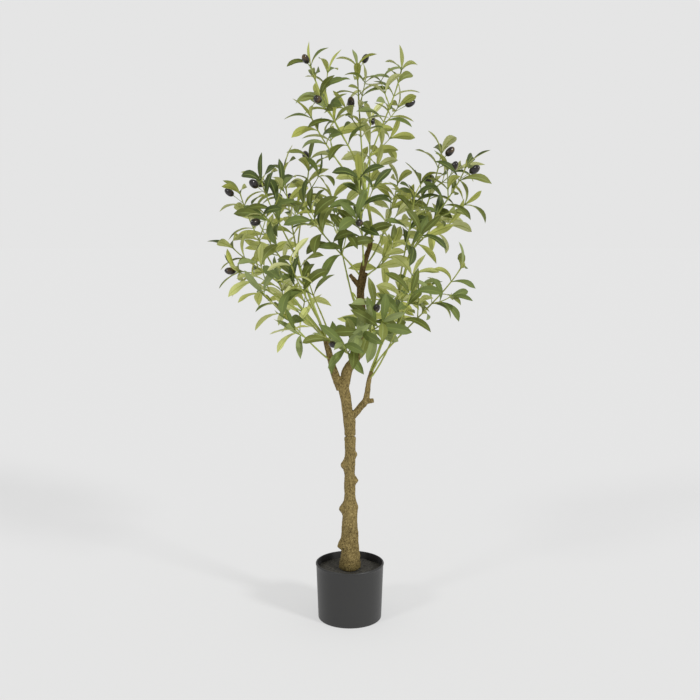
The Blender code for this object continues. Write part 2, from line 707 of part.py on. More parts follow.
def spray_stems(limbs, taken):
    """Pass one: every spray's stem and side twigs, each twig clear of other sprays and limbs."""
    sprays = {}
    for name, row in SPRAYS.items():
        carrier, place, azimuth, tip, lift = row[:5]
        foot, normal = limbs[carrier][0].seat(place, azimuth, STEM_FOOT_RADIUS)
        points = stem_path(foot, normal, np.array(tip) * MM, lift, SPRAY_RINGS)
        radii = np.linspace(STEM_FOOT_RADIUS, STEM_TIP_RADIUS, len(points))
        sprays[name] = [(points, radii, row[5], normal)]
        taken.add(name, 0, *tube_mesh(points, radii, TWIG_SIDES, normal))
        taken.add(name, 0, *tube_mesh(points, radii, TWIG_SIDES, normal), outer=True)
    for name, row in SPRAYS.items():
        bare, twigs, length, seed = row[5], row[6], row[7] * MM, row[9]
        rng = random.Random(seed)
        stem = sprays[name][0][0]
        along = lengths_along(stem)
        tangents, across, back = frames(stem)
        turn = rng.uniform(0, 360)
        for k in range(twigs):
            share = bare + (TWIG_LAST - bare) * (k + TWIG_FIRST) / twigs
            share += rng.uniform(*TWIG_SHIFT)
            reach = length * (1 - TWIG_SHORTEN * k / twigs) * rng.uniform(*TWIG_REACH)
            spread = math.radians(rng.uniform(*TWIG_ANGLE))
            turn += GOLDEN_TURN + rng.uniform(*TURN_SHIFT)
            at = share * along[-1]
            root = np.array([np.interp(at, along, stem[:, i]) for i in range(3)])
            near = int(np.searchsorted(along, at))
            for extra in range(LEAF_TRIES):
                angle = math.radians(turn + extra * 2 * TRY_TURN)
                outward = math.cos(angle) * across[near] + math.sin(angle) * back[near]
                way = math.cos(spread) * tangents[near] + math.sin(spread) * outward
                goal = root + reach * unit(way + TWIG_RISE * UP)
                line = stem_path(root, way, goal, TWIG_LIFT, TWIG_RINGS)
                widths = np.linspace(TWIG_ROOT_RADIUS, TWIG_TIP_RADIUS, len(line))
                outer = line.copy()
                outer[0] += TWIG_ROOT_SHARE * (line[1] - line[0])
                verts, faces = tube_mesh(outer, widths + CLEAR_OF_OTHERS, TWIG_SIDES)
                if taken.meets(verts, faces, lambda owner, twig, _: owner == name and twig == 0):
                    continue
                twig = tube_mesh(line, widths, TWIG_SIDES)
                taken.add(name, len(sprays[name]), *twig)
                taken.add(name, len(sprays[name]), *twig, outer=True)
                sprays[name].append((line, widths, BARE_TWIG, None))
                break
    return sprays


def spray_leaves(sprays, taken):
    """Pass two: olives near the ends, then leaves in pairs from each twig's end inwards."""
    grown = {}
    for name, row in SPRAYS.items():
        rng = random.Random(row[9] + LEAF_SEED)
        leaves, olives = [], []
        for number in range(row[8]):
            twig = number % len(sprays[name])
            line = sprays[name][twig][0]
            along = lengths_along(line)
            tangents, across, back = frames(line)
            at = along[-1] - PAIR_SPACING * rng.uniform(*OLIVE_PLACE)
            near = int(np.searchsorted(along, at))
            foot = np.array([np.interp(at, along, line[:, i]) for i in range(3)])
            start = rng.uniform(0, 360)
            stalk = rng.uniform(*OLIVE_STALK)
            size = rng.uniform(*OLIVE_LENGTH)
            for extra in range(LEAF_TRIES):
                angle = math.radians(start + extra * 2 * TRY_TURN)
                outward = math.cos(angle) * across[near] + math.sin(angle) * back[near]
                way = unit(OLIVE_LEAN[0] * tangents[near] + OLIVE_LEAN[1] * outward)
                olive = (foot, way, stalk, size, size * OLIVE_SLENDER)
                if taken.meets(
                    *olive_mesh(olive, CLEAR_OF_OTHERS), lambda owner, other, outer: outer
                ) or taken.meets(
                    *stalk_mesh(olive, CLEAR_OF_OTHERS),
                    lambda owner, other, outer: owner == name or outer,
                ):
                    continue
                olives.append(olive)
                taken.add(name, twig, *olive_mesh(olive))
                taken.add(name, twig, *olive_mesh(olive), outer=True)
                taken.add(name, twig, *stalk_mesh(olive))
                break
        for twig, (line, _, bare, _) in enumerate(sprays[name]):
            along = lengths_along(line)
            tangents, across, back = frames(line)
            at = along[-1]
            turn = rng.uniform(0, 360)
            step = 0
            while at > bare * along[-1]:
                near = min(int(np.searchsorted(along, at)), len(line) - 1)
                foot = np.array([np.interp(at, along, line[:, i]) for i in range(3)])
                size = END_LEAF + (1 - END_LEAF) * min(1.0, step / END_PAIRS)
                for part in (2, 0, 1) if step == 0 else (0, 1):
                    length = LEAF_LENGTH * size * rng.uniform(*LENGTH_SHARE)
                    gain = min(step, ANGLE_PAIRS) * ANGLE_GAIN
                    lean = math.radians(gain + rng.uniform(*LEAF_ANGLE))
                    curl = math.radians(rng.uniform(*LEAF_CURL))
                    spin = turn + 180 * part + rng.uniform(*LEAF_SPIN_SHIFT)
                    width = length * LEAF_SLENDER * rng.uniform(*WIDTH_SHARE)
                    root = foot - ROOT_STEPS[part] * tangents[near]
                    if part == 2:
                        lean *= END_LEAN
                        curl *= END_CURL
                        spin += 90
                    for extra in range(LEAF_TRIES):
                        change = TRY_TURN * ((extra + 1) // 2) * (1 if extra % 2 else -1)
                        angle = math.radians(spin + change)
                        outward = math.cos(angle) * across[near] + math.sin(angle) * back[near]
                        way = math.cos(lean) * tangents[near] + math.sin(lean) * outward
                        top = unit(tangents[near] * math.sin(lean) - outward * math.cos(lean))
                        leaf = (root, way, top, length, width, curl)
                        if taken.meets(
                            *leaf_mesh(leaf, CLEAR_OF_OTHERS),
                            lambda owner, other, outer: owner == name or outer,
                        ):
                            continue
                        if taken.meets(
                            *leaf_mesh(leaf, CLEAR_OF_OWN, OWN_ROOT_SHARE),
                            lambda owner, other, outer: owner != name or not outer,
                        ):
                            continue
                        leaves.append(leaf)
                        taken.add(name, twig, *leaf_mesh(leaf))
                        taken.add(name, twig, *leaf_mesh(leaf, 0.0, OWN_ROOT_SHARE), outer=True)
                        break
                turn += PAIR_TURN + rng.uniform(*PAIR_TURN_SHIFT)
                at -= PAIR_SPACING * rng.uniform(*SPACING_SHARE)
                step += 1
        grown[name] = (leaves, olives)
    return grown


def build_pot():
    """The pot as one turned shell, and the fill that lies in it."""
    slope = (POT_RIM_RADIUS - LIP_OUT - POT_BASE_RADIUS) / (POT_HEIGHT - LIP_HEIGHT)
    inner_base = POT_BASE_RADIUS + slope * POT_FLOOR - POT_WALL
    inner_rim = POT_RIM_RADIUS - LIP_OUT - POT_WALL
    profile = (
        (0, 0),
        (POT_BASE_RADIUS - POT_FOOT_BEVEL, 0),
        (POT_BASE_RADIUS - POT_FOOT_MIDDLE * POT_FOOT_BEVEL, POT_FOOT_MIDDLE * POT_FOOT_BEVEL),
        (POT_BASE_RADIUS, POT_FOOT_BEVEL),
        (POT_RIM_RADIUS - LIP_OUT, POT_HEIGHT - LIP_HEIGHT),
        (POT_RIM_RADIUS, POT_HEIGHT - LIP_HEIGHT + LIP_ROUND),
        (POT_RIM_RADIUS, POT_HEIGHT - LIP_ROUND),
        (POT_RIM_RADIUS - LIP_ROUND, POT_HEIGHT),
        (inner_rim, POT_HEIGHT),
        (inner_base, POT_FLOOR),
        (0, POT_FLOOR),
    )
    pot = add_object("pot", *turned(profile, POT_SIDES))
    finish(pot, POT_BLACK, POT_ROUGHNESS, POT_CREASE)
    inner = (inner_rim - inner_base) / (POT_HEIGHT - POT_FLOOR)
    bottom = POT_FLOOR + GAP
    side = FILL_TOP - FILL_CROWN
    profile = (
        (0, bottom),
        (inner_base - GAP, bottom),
        (inner_base + inner * (side - POT_FLOOR) - GAP, side),
        (FILL_FLAT_RADIUS, FILL_TOP),
        (0, FILL_TOP),
    )
    fill = add_object("fill", *turned(profile, POT_SIDES))
    finish(fill, FILL_DARK, FILL_ROUGHNESS, POT_CREASE)


def build_trunk(paths, limbs):
    """The two moulded pieces of the trunk, the upper one with the boughs' roots, and the
    boughs with their stubs."""
    points, radii = paths["lower_trunk"]
    whole = lengths_along(points)[-1]
    stretch = cut_path(points, radii, 0, whole, RING_SPACING)
    lower = add_object("lower_trunk", *limb_mesh(*stretch, LIMB_SIDES, LOWER_KNOTS))
    finish(lower, BARK, BARK_ROUGHNESS, BARK_CREASE)
    points, radii = paths["upper_trunk"]
    whole = lengths_along(points)[-1]
    stretch = cut_path(points, radii, 0, whole, RING_SPACING)
    upper = add_object("upper_trunk", *limb_mesh(*stretch, LIMB_SIDES, UPPER_KNOTS))
    roots = []
    for name, cut in FORK_CUTS.items():
        points, radii = paths[name]
        whole = lengths_along(points)[-1]
        stretch = cut_path(points, radii, 0, cut * whole - GAP / 2, RING_SPACING)
        roots.append(add_object(name + "_root", *limb_mesh(*stretch, BOUGH_SIDES)))
    fuse(upper, roots)
    finish(upper, BARK, BARK_ROUGHNESS, BARK_CREASE)
    stubs = {"left_bough": (), "centre_bough": CENTRE_STUBS, "side_bough": SIDE_STUBS}
    for name, own_stubs in stubs.items():
        _, verts, faces = limbs[name]
        bough = add_object(name, verts, faces)
        extra = [add_object(name + "_stub", *stub_mesh(stub)) for stub in own_stubs]
        if extra:
            fuse(bough, extra)
        finish(bough, BARK, BARK_ROUGHNESS, BARK_CREASE)


def build_spray(name, twigs, leaves, olives):
    """One spray: stem, twigs, leaves, stalks and olives joined by one union."""
    points, radii, _, first = twigs[0]
    stem = add_object(name, *tube_mesh(points, radii, TWIG_SIDES, first))
    others = []
    for points, radii, _, _ in twigs[1:]:
        others.append(add_object("twig", *tube_mesh(points, radii, TWIG_SIDES)))
    for leaf in leaves:
        others.append(add_object("leaf", *leaf_mesh(leaf)))
    for olive in olives:
        others.append(add_object("stalk", *stalk_mesh(olive)))
        others.append(add_object("olive", *olive_mesh(olive)))
    fuse(stem, others)
    finish(stem, LEAF_GREEN, LEAF_ROUGHNESS)


def main():
    for obj in list(bpy.data.objects):
        bpy.data.objects.remove(obj)
    build_pot()
    paths = trunk_limbs()
    limbs = limb_pieces(paths)
    lay_stems(limbs)
    build_trunk(paths, limbs)
    for name in STEMS:
        _, verts, faces = limbs[name]
        finish(add_object(name, verts, faces), STEM_GREEN, STEM_ROUGHNESS, STEM_CREASE)
    taken = Taken()
    for name, (_, verts, faces) in limbs.items():
        taken.add(name, 0, verts, faces)
    for stub in CENTRE_STUBS + SIDE_STUBS:
        taken.add("stub", 0, *stub_mesh(stub))
    sprays = spray_stems(limbs, taken)
    grown = spray_leaves(sprays, taken)
    for name, twigs in sprays.items():
        build_spray(name, twigs, *grown[name])
    print("leaves", sum(len(g[0]) for g in grown.values()))
    print("olives", sum(len(g[1]) for g in grown.values()))
    print("twigs", sum(len(t) - 1 for t in sprays.values()))


main()
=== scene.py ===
"""The looks of a potted artificial olive tree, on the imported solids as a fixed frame.

Moulded bark, green plastic stems, printed cloth leaves, glossy olives and a black pot.
Each piece is a surface worked out with numpy in the row's own frame, in metres, +Z up.
Tables give real sizes in millimetres.
"""

import math

import bpy
import numpy as np
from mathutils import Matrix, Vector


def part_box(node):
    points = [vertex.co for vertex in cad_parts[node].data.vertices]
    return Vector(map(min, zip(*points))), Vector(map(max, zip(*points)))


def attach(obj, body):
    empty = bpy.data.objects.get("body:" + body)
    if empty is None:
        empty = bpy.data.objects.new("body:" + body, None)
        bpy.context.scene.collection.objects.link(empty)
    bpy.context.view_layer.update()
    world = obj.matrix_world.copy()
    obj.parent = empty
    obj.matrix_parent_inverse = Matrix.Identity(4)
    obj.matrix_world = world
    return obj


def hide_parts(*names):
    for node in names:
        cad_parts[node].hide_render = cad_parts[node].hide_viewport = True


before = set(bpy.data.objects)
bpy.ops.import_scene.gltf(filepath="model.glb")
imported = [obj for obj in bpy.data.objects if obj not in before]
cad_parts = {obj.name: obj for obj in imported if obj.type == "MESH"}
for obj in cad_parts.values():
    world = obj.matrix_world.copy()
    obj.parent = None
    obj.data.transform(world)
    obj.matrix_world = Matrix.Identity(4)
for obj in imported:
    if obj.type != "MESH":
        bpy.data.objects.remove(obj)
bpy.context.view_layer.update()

MM = 0.001
UP = np.array((0.0, 0.0, 1.0))
POT_LOW, POT_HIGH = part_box("pot")
FILL_LOW, FILL_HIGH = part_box("fill")

# Pot, as the solid has it
POT_HEIGHT = POT_HIGH.z
POT_RIM_RADIUS = POT_HIGH.x
POT_BASE_RADIUS = 0.0678
POT_WALL = 0.0024
POT_FLOOR = 0.0040
LIP_HEIGHT = 0.0042
LIP_OUT = 0.0011
POT_TURN = 160  # faces round the pot

# Limbs: rows of x, y, z and radius in mm, foot to tip
LOWER_TRUNK = (
    (0, 0, 107.8, 23.6),
    (0, 0, 117, 23.2),
    (0.2, 0, 129, 20.6),
    (0.6, 0, 144, 18.4),
    (0.6, 0, 178, 17.5),
    (0.4, 0, 206, 16.7),
    (0.3, 0, 228, 15.7),
    (0, 0, 246, 13.9),
    (-0.2, 0, 262, 12.2),
    (-0.3, 0, 284, 11.3),
    (0, 0, 340, 10.9),
    (0.2, 0, 378, 11.0),
    (0.4, 0, 396.7, 12.0),
)
UPPER_TRUNK = (
    (0.4, 0, 397.0, 11.9),
    (0.4, 0, 412, 12.0),
    (-0.6, 0, 432, 12.6),
    (-5.2, 0, 453, 11.2),
    (-8.2, 0, 474, 10.9),
    (-12.7, 0, 495, 11.6),
    (-17.5, 0, 512, 11.5),
)
BOUGHS = {
    "left_bough": (
        (-20, 0, 497, 9.0),
        (-27, -1, 518, 8.6),
        (-34, -3, 540, 7.7),
        (-43, -9, 575, 6.6),
        (-51, -15, 607, 5.6),
    ),
    "centre_bough": (
        (-14, 0, 490, 10.0),
        (-9.5, 1, 515, 10.6),
        (-4, 2, 538, 10.6),
        (10, 6, 558, 10.0),
        (20, 9, 581, 9.7),
        (26, 10, 612, 8.9),
        (28, 10, 642, 8.6),
        (26, 9, 664, 7.6),
        (22, 6, 694, 7.9),
        (23, 4, 718, 7.2),
        (26, 3, 744, 6.1),
        (33, 4, 770, 5.6),
        (41, 6, 794, 5.2),
        (43.5, 8, 814, 4.4),
    ),
    "side_bough": (
        (2, 0, 436, 8.6),
        (12, -4, 447, 7.8),
        (22, -8, 460, 7.2),
        (32, -14, 474, 6.8),
        (36, -18, 492, 6.0),
        (39, -21, 516, 5.0),
        (45, -24, 539, 4.0),
    ),
}
STUBS = (
    ((20, 5, 712, 5.6), (0.5, 0, 737, 3.7)),
    ((23, 4, 696, 5.6), (34, 0, 741, 3.2)),
    ((30, -12, 472, 5.2), (49.5, -16, 476, 4.6)),
)
# Share of each bough that is moulded with the trunk, which its seats aren't counted on
FORK_CUTS = {"left_bough": 0.27, "centre_bough": 0.125, "side_bough": 0.20}
# Knots: height in mm, azimuth in degrees (0 is +X, 270 the front), how far one stands
# out, its spread above and its spread below its widest place, in mm
KNOTS = (
    (157, 180, 10.0, 16, 6),
    (238, 176, 8.4, 14, 7),
    (243, 5, 2.4, 12, 10),
    (301, 0, 7.6, 8, 7),
    (334, 182, 8.0, 11, 9),
    (357, 2, 5.0, 7, 7),
    (198, 262, 4.0, 9, 9),
    (276, 95, 5.0, 8, 8),
    (135, 40, 4.0, 11, 9),
    (372, 280, 2.6, 7, 7),
    (426, 255, 2.6, 8, 8),
    (470, 100, 3.5, 8, 8),
)
KNOT_FOCUS = 7  # how narrow a knot is round the limb
FIBRE_TURN = 0.150  # height over which the bark's crossing fibres turn upright
EDGE_DEPTH = 0.0030  # how far the end of a moulded piece is rounded over
EDGE_REACH = 0.0012

# Green stems that go on from the limbs. Each row: limb, place along it (1 is its tip),
# azimuth of the seat in degrees, tip x, y, z in mm, lift, radius at foot and tip in mm
STEMS = {
    "top_stem": ("centre_bough", 1, 0, (30, 12, 926), 0.25, 3.3, 3.0),
    "right_stem": ("side_bough", 1, 60, (123, 18, 771), 0.30, 3.0, 3.0),
    "left_outer_stem": ("left_bough", 1, 215, (-129, -20, 707), 0.10, 2.9, 2.9),
    "left_inner_stem": ("left_bough", 1, 90, (-106, 22, 758), 0.45, 2.9, 2.9),
    "back_stem": ("centre_bough", 0.40, 95, (5, 90, 690), 0.50, 2.9, 2.9),
}

# Sprays. Each row: what carries it, place and azimuth of its seat, tip of its stem in mm,
# lift of that tip, bare share of the stem, number of side twigs and their length in mm,
# olives, seed
SPRAYS = {
    "crown_left": ("top_stem", 1, 200, (-76, -60, 1146), 0.8, 0.30, 3, 72, 3, 11),
    "crown_low_left": ("top_stem", 0.80, 190, (-76, -20, 1050), 0.5, 0.40, 1, 64, 0, 41),
    "crown_middle": ("top_stem", 1, 80, (15, 45, 1160), 0.5, 0.34, 2, 62, 3, 12),
    "crown_right": ("top_stem", 1, 320, (104, 10, 1148), 0.7, 0.46, 2, 60, 2, 51),
    "crown_back": ("top_stem", 0.72, 60, (44, 135, 1058), 0.6, 0.48, 1, 62, 1, 14),
    "inner_right": ("centre_bough", 0.80, 30, (102, 95, 925), 0.7, 0.36, 2, 66, 0, 15),
    "inner_back": ("top_stem", 0.45, 100, (22, 110, 955), 0.5, 0.30, 1, 56, 0, 42),
    "back_right": ("centre_bough", 0.66, 75, (94, 165, 783), 0.5, 0.36, 1, 66, 0, 16),
    "right_outer_upper": ("right_stem", 1, 300, (228, -60, 950), 0.5, 0.42, 2, 66, 3, 17),
    "right_inner_upper": ("right_stem", 1, 60, (190, 50, 984), 0.8, 0.34, 2, 66, 2, 18),
    "right_back": ("right_stem", 1, 180, (182, 130, 842), 0.5, 0.34, 2, 62, 1, 19),
    "right_front_mid": ("right_stem", 0.72, 240, (128, -60, 892), 0.5, 0.42, 2, 60, 0, 43),
    "right_outer_low": ("side_bough", 1, 320, (220, -70, 752), 0.3, 0.48, 2, 62, 0, 20),
    "right_inner_low": ("side_bough", 1, 180, (126, -40, 736), 0.3, 0.50, 1, 60, 0, 21),
    "right_front_low": ("side_bough", 0.86, 300, (118, -112, 702), 0.3, 0.45, 0, 56, 0, 22),
    "right_back_low": ("back_stem", 0.75, 10, (121, 165, 671), 0.1, 0.45, 2, 64, 1, 23),
    "front_left": ("centre_bough", 0.06, 262, (-12, -165, 612), 0.2, 0.50, 3, 52, 2, 24),
    "front_right": ("centre_bough", 0.28, 285, (62, -160, 654), 0.2, 0.32, 2, 56, 2, 25),
    "left_low_front": ("left_bough", 0.45, 215, (-168, -105, 704), 0.0, 0.32, 2, 62, 0, 26),
    "left_low_outer": ("left_outer_stem", 0.55, 225, (-224, -16, 742), 0.0, 0.42, 1, 60, 0, 27),
    "left_low_back": ("left_bough", 0.85, 110, (-138, 150, 673), 0.1, 0.46, 1, 64, 1, 28),
    "left_front": ("left_bough", 1, 320, (-112, -135, 760), 0.3, 0.54, 2, 60, 0, 29),
    "left_outer_mid": ("left_outer_stem", 1, 240, (-240, 10, 790), 0.2, 0.36, 2, 56, 2, 30),
    "left_outer_upper": ("left_outer_stem", 1, 60, (-230, 60, 902), 0.6, 0.45, 1, 56, 2, 31),
    "left_back_upper": ("left_inner_stem", 0.70, 120, (-198, 155, 838), 0.4, 0.42, 1, 64, 1, 32),
    "left_upper": ("left_inner_stem", 1, 240, (-172, -80, 920), 0.5, 0.40, 2, 58, 3, 33),
    "left_inner_upper": ("left_inner_stem", 1, 0, (-136, 30, 945), 0.5, 0.30, 2, 62, 3, 34),
    "inner_high": ("left_inner_stem", 1, 120, (-86, 105, 976), 0.6, 0.40, 2, 62, 2, 35),
    "inner_left": ("left_bough", 0.80, 350, (-82, -60, 728), 0.5, 0.62, 0, 50, 0, 36),
    "centre_upper_left": ("centre_bough", 0.72, 200, (-86, -105, 872), 0.5, 0.22, 2, 60, 0, 37),
    "centre_front": ("centre_bough", 0.79, 255, (18, -90, 925), 0.5, 0.34, 2, 60, 2, 38),
    "centre_back": ("back_stem", 1, 120, (-38, 150, 890), 0.5, 0.48, 1, 66, 1, 39),
    "low_back": ("back_stem", 1, 300, (52, 165, 606), -0.1, 0.50, 1, 60, 0, 40),
}

# Looks of each spray: the tint of its leaves, darkest first, the share of them that are
# turned over, so that their pale undersides face out, and the size of its leaves
LOOKS = {
    "crown_left": (2, 0.0, 0.88),
    "crown_low_left": (2, 0.2, 0.90),
    "crown_middle": (2, 0.0, 0.86),
    "crown_right": (3, 0.0, 0.86),
    "crown_back": (3, 0.0, 0.90),
    "inner_right": (3, 0.1, 0.92),
    "inner_back": (3, 0.0, 0.90),
    "back_right": (2, 0.0, 1.00),
    "right_outer_upper": (1, 0.0, 1.00),
    "right_inner_upper": (1, 0.1, 1.00),
    "right_back": (1, 0.1, 1.0),
    "right_front_mid": (0, 0.0, 1.00),
    "right_outer_low": (2, 0.1, 0.88),
    "right_inner_low": (2, 0.4, 0.90),
    "right_front_low": (2, 0.0, 1.00),
    "right_back_low": (2, 0.0, 1.00),
    "front_left": (2, 0.0, 1.00),
    "front_right": (2, 0.0, 1.00),
    "left_low_front": (3, 0.7, 0.95),
    "left_low_outer": (3, 0.8, 0.95),
    "left_low_back": (3, 0.0, 1.0),
    "left_front": (1, 0.2, 1.00),
    "left_outer_mid": (0, 0.0, 1.0),
    "left_outer_upper": (1, 0.0, 0.90),
    "left_back_upper": (1, 0.0, 0.95),
    "left_upper": (0, 0.0, 0.95),
    "left_inner_upper": (1, 0.1, 0.95),
    "inner_high": (1, 0.3, 0.92),
    "inner_left": (2, 0.6, 1.00),
    "centre_upper_left": (1, 0.0, 1.05),
    "centre_front": (0, 0.0, 1.00),
    "centre_back": (2, 0.2, 0.95),
    "low_back": (2, 0.0, 1.00),
}

# Growth rule of a spray, lengths in metres
START_PULL = 0.55  # how straight a stem leaves its seat
END_PULL = 0.9  # how straight it reaches its tip
STEM_RADII = (0.0019, 0.0012)
TWIG_RADII = (0.0014, 0.0009)
FINE_RADII = (0.0010, 0.0007)
FINE_LENGTH = (0.024, 0.034)  # of the finer twigs that the solid goes without
FINE_PLACES = (0.62, 0.86)  # share of a stem or side twig between which one leaves
FINE_LEAF = 0.66  # size of its leaves
TWIG_LAST = 0.84  # share of the stem before which the side twigs leave
TWIG_ANGLE = 42.0  # degrees from the stem
TWIG_SHORTEN = 0.35
TWIG_RISE = 0.22  # how far a side twig bends up
TWIG_LIFT = 0.25
TWIG_CLEARANCE = 0.009
TWIG_BARE = 0.30
GOLDEN_TURN = 137.5
PAIR_SPACING = 0.0320
LEAF_LENGTH = 0.068
LEAF_SLENDER = 0.28  # width to length
LEAF_ANGLE = 31.0  # degrees from the twig
LEAF_CURL = (46.0, 88.0)  # degrees that a leaf bends from root to tip
LEAF_TWIST = (8.0, 60.0)  # degrees that its blade may turn about its midrib to face outwards
TURNED_TWIST = (50.0, 110.0)  # and in a leaf that is turned over
END_LEAF = 0.92  # size of the leaves at a twig's end
END_LEAN = 0.3  # a twig's last leaf goes on almost straight
END_CURL = 0.6
LEAF_CLEARANCE = 0.0085  # between the midribs of two leaves
LEAF_TRIES = 9
CROWN_MIDDLE = 0.04  # how far back the middle of the crown lies
TRY_TURN = 21.0
OLIVE_LENGTH = (0.0205, 0.025)
OLIVE_SLENDER = 0.64
OLIVE_STALK = (0.014, 0.028)

# Leaf as a surface: stations along its midrib, places across it (1 is its edge)
LEAF_STATIONS = np.array((0.0, 0.10, 0.20, 0.31, 0.43, 0.55, 0.67, 0.79, 0.90, 1.0))
LEAF_TOP = np.array((-1.0, -0.09, 0.09, 1.0))
LEAF_UNDER = np.array((0.09, -0.09))
LEAF_BASE = 1.20  # how slowly a leaf widens from its stalk
LEAF_POINT = 1.02  # how slowly it narrows to its tip
VEINS = 15  # side veins along a leaf
VEIN_SLANT = 0.24
LEAF_EDGE = 75  # degrees between faces past which an edge is crisp
LEAF_SLANT = 0.55  # how far forward its side veins run, to its half width
STALK_SEGMENTS = 1  # stretches of a leaf that are its green stalk
LEAF_STALK_RADIUS = 0.0008
LEAF_THICK = 0.0008
LEAF_RIB = 0.0006  # how far the midrib stands out underneath
LEAF_GROOVE = 0.0002  # how deep it lies on top


def unit(vectors):
    """Vectors over their lengths."""
    return vectors / np.linalg.norm(vectors, axis=-1, keepdims=True)


def sum_along(points):
    """Length along a path at each of its points."""
    steps = np.linalg.norm(np.diff(points, axis=0), axis=1)
    return np.concatenate(([0.0], np.cumsum(steps)))


def smooth_path(rows, count=200):
    """A centripetal Catmull-Rom curve through rows of x, y, z, radius in mm. Each point is a
    mean of means: three times over, neighbours are mixed by how far the parameter lies
    between their knots, which are the summed square roots of the gaps."""
    rows = np.array(rows, dtype=float) * MM
    rows = np.vstack((2 * rows[0] - rows[1], rows, 2 * rows[-1] - rows[-2]))
    knots = np.concatenate(([0.0], np.cumsum(np.sqrt(np.linalg.norm(np.diff(rows[:, :3], axis=0), axis=1)))))
    t = np.linspace(knots[1], knots[-2], count)
    k = np.clip(np.searchsorted(knots, t, side="right") - 1, 1, len(rows) - 3)

    def mixed(low, high, start, end):
        share = ((t - start) / (end - start))[:, None]
        return (1 - share) * low + share * high

    t0, t1, t2, t3 = (knots[k + step] for step in (-1, 0, 1, 2))
    a, b, c, d = (rows[k + step] for step in (-1, 0, 1, 2))
    ab, bc, cd = mixed(a, b, t0, t1), mixed(b, c, t1, t2), mixed(c, d, t2, t3)
    out = mixed(mixed(ab, bc, t0, t2), mixed(bc, cd, t1, t3), t1, t2)
    return out[:, :3], out[:, 3]


def cut_path(points, radii, start, end, count):
    """Evenly spaced points and radii on the stretch of a path between two shares of its length."""
    along = sum_along(points)
    wanted = np.linspace(start, end, count) * along[-1]
    places = np.stack([np.interp(wanted, along, points[:, axis]) for axis in range(3)], axis=1)
    return places, np.interp(wanted, along, radii)


def stem_path(foot, start, tip, lift, count):
    """A cubic from foot to tip that leaves along start and arrives bent up by lift: the four
    Hermite weights of t, on the two ends and the two pulls."""
    span = tip - foot
    length = np.linalg.norm(span)
    leave = unit(start) * length * START_PULL
    arrive = unit(span / length + lift * UP) * length * END_PULL
    t = np.linspace(0.0, 1.0, count)[:, None]
    return (
        (2 * t**3 - 3 * t**2 + 1) * foot
        + (t**3 - 2 * t**2 + t) * leave
        + (3 * t**2 - 2 * t**3) * tip
        + (t**3 - t**2) * arrive
    )


def carried_frames(paths, towards=(0.3, -1.0, 0.2)):
    """Tangents and two cross directions for many paths at once. The cross direction is
    carried from each station to the next, less its part along the tangent."""
    tangents = unit(np.gradient(paths, axis=-2))
    sides = np.empty_like(paths)
    side = np.broadcast_to(np.array(towards, dtype=float), paths[..., 0, :].shape)
    for station in range(paths.shape[-2]):
        tangent = tangents[..., station, :]
        side = unit(side - np.sum(side * tangent, axis=-1, keepdims=True) * tangent)
        sides[..., station, :] = side
    return tangents, sides, np.cross(tangents, sides)


def lattice_noise(places, seed=0):
    """Smooth noise from 0 to 1: a hashed value at each corner of a unit lattice, mixed
    between corners by the eased share 3t² - 2t³ along each axis."""
    cells = np.floor(places).astype(np.int64)
    share = places - cells
    share = share * share * (3 - 2 * share)
    total = np.zeros(len(places))
    for corner in np.ndindex(2, 2, 2):
        key = cells + np.array(corner)
        mixed = key[:, 0] * 73856093 ^ key[:, 1] * 19349663 ^ key[:, 2] * 83492791 ^ (seed * 2654435761)
        mixed = (mixed ^ (mixed >> 13)) * 1274126177
        value = ((mixed ^ (mixed >> 16)) & 0xFFFF) / 0xFFFF
        weights = np.where(np.array(corner) == 1, share, 1 - share)
        total += value * weights.prod(axis=1)
    return total


def piece(name, verts, face_sets, finishes, which=None, smooth=True):
    """A mesh object from arrays. face_sets are arrays of quads or triangles, and which gives
    each face's finish by its number."""
    mesh = bpy.data.meshes.new(name)
    verts = np.asarray(verts, dtype=np.float32).reshape(-1, 3)
    corners = np.concatenate([faces.ravel() for faces in face_sets]).astype(np.int32)
    sizes = np.concatenate([np.full(len(faces), faces.shape[1]) for faces in face_sets])
    starts = np.concatenate(([0], np.cumsum(sizes)[:-1])).astype(np.int32)
    mesh.vertices.add(len(verts))
    mesh.vertices.foreach_set("co", verts.ravel())
    mesh.loops.add(len(corners))
    mesh.loops.foreach_set("vertex_index", corners)
    mesh.polygons.add(len(sizes))
    mesh.polygons.foreach_set("loop_start", starts)
    for finish in finishes:
        mesh.materials.append(finish)
    if which is not None:
        mesh.polygons.foreach_set("material_index", np.asarray(which, dtype=np.int32))
    mesh.polygons.foreach_set("use_smooth", np.full(len(sizes), smooth))
    mesh.update(calc_edges=True)
    obj = bpy.data.objects.new(name, mesh)
    bpy.context.scene.collection.objects.link(obj)
    return obj


def ring_quads(rings, sides, copies=1, size=None):
    """Quads between neighbouring closed rings, for many copies of one tube."""
    ring, side = np.meshgrid(np.arange(rings - 1), np.arange(sides), indexing="ij")
    after = (side + 1) % sides
    quads = np.stack((ring * sides + side, ring * sides + after, (ring + 1) * sides + after, (ring + 1) * sides + side), -1)
    quads = quads.reshape(-1, 4)
    shift = np.arange(copies)[:, None, None] * (size or rings * sides)
    return (quads[None] + shift).reshape(-1, 4)


def fans(ring_start, sides, pole, copies=1, size=0, inward=False):
    """Triangles from one ring to its pole, for many copies."""
    side = np.arange(sides)
    after = (side + 1) % sides
    first, second = (after, side) if inward else (side, after)
    faces = np.stack((ring_start + first, ring_start + second, np.full(sides, pole)), -1)
    return (faces[None] + np.arange(copies)[:, None, None] * size).reshape(-1, 3)


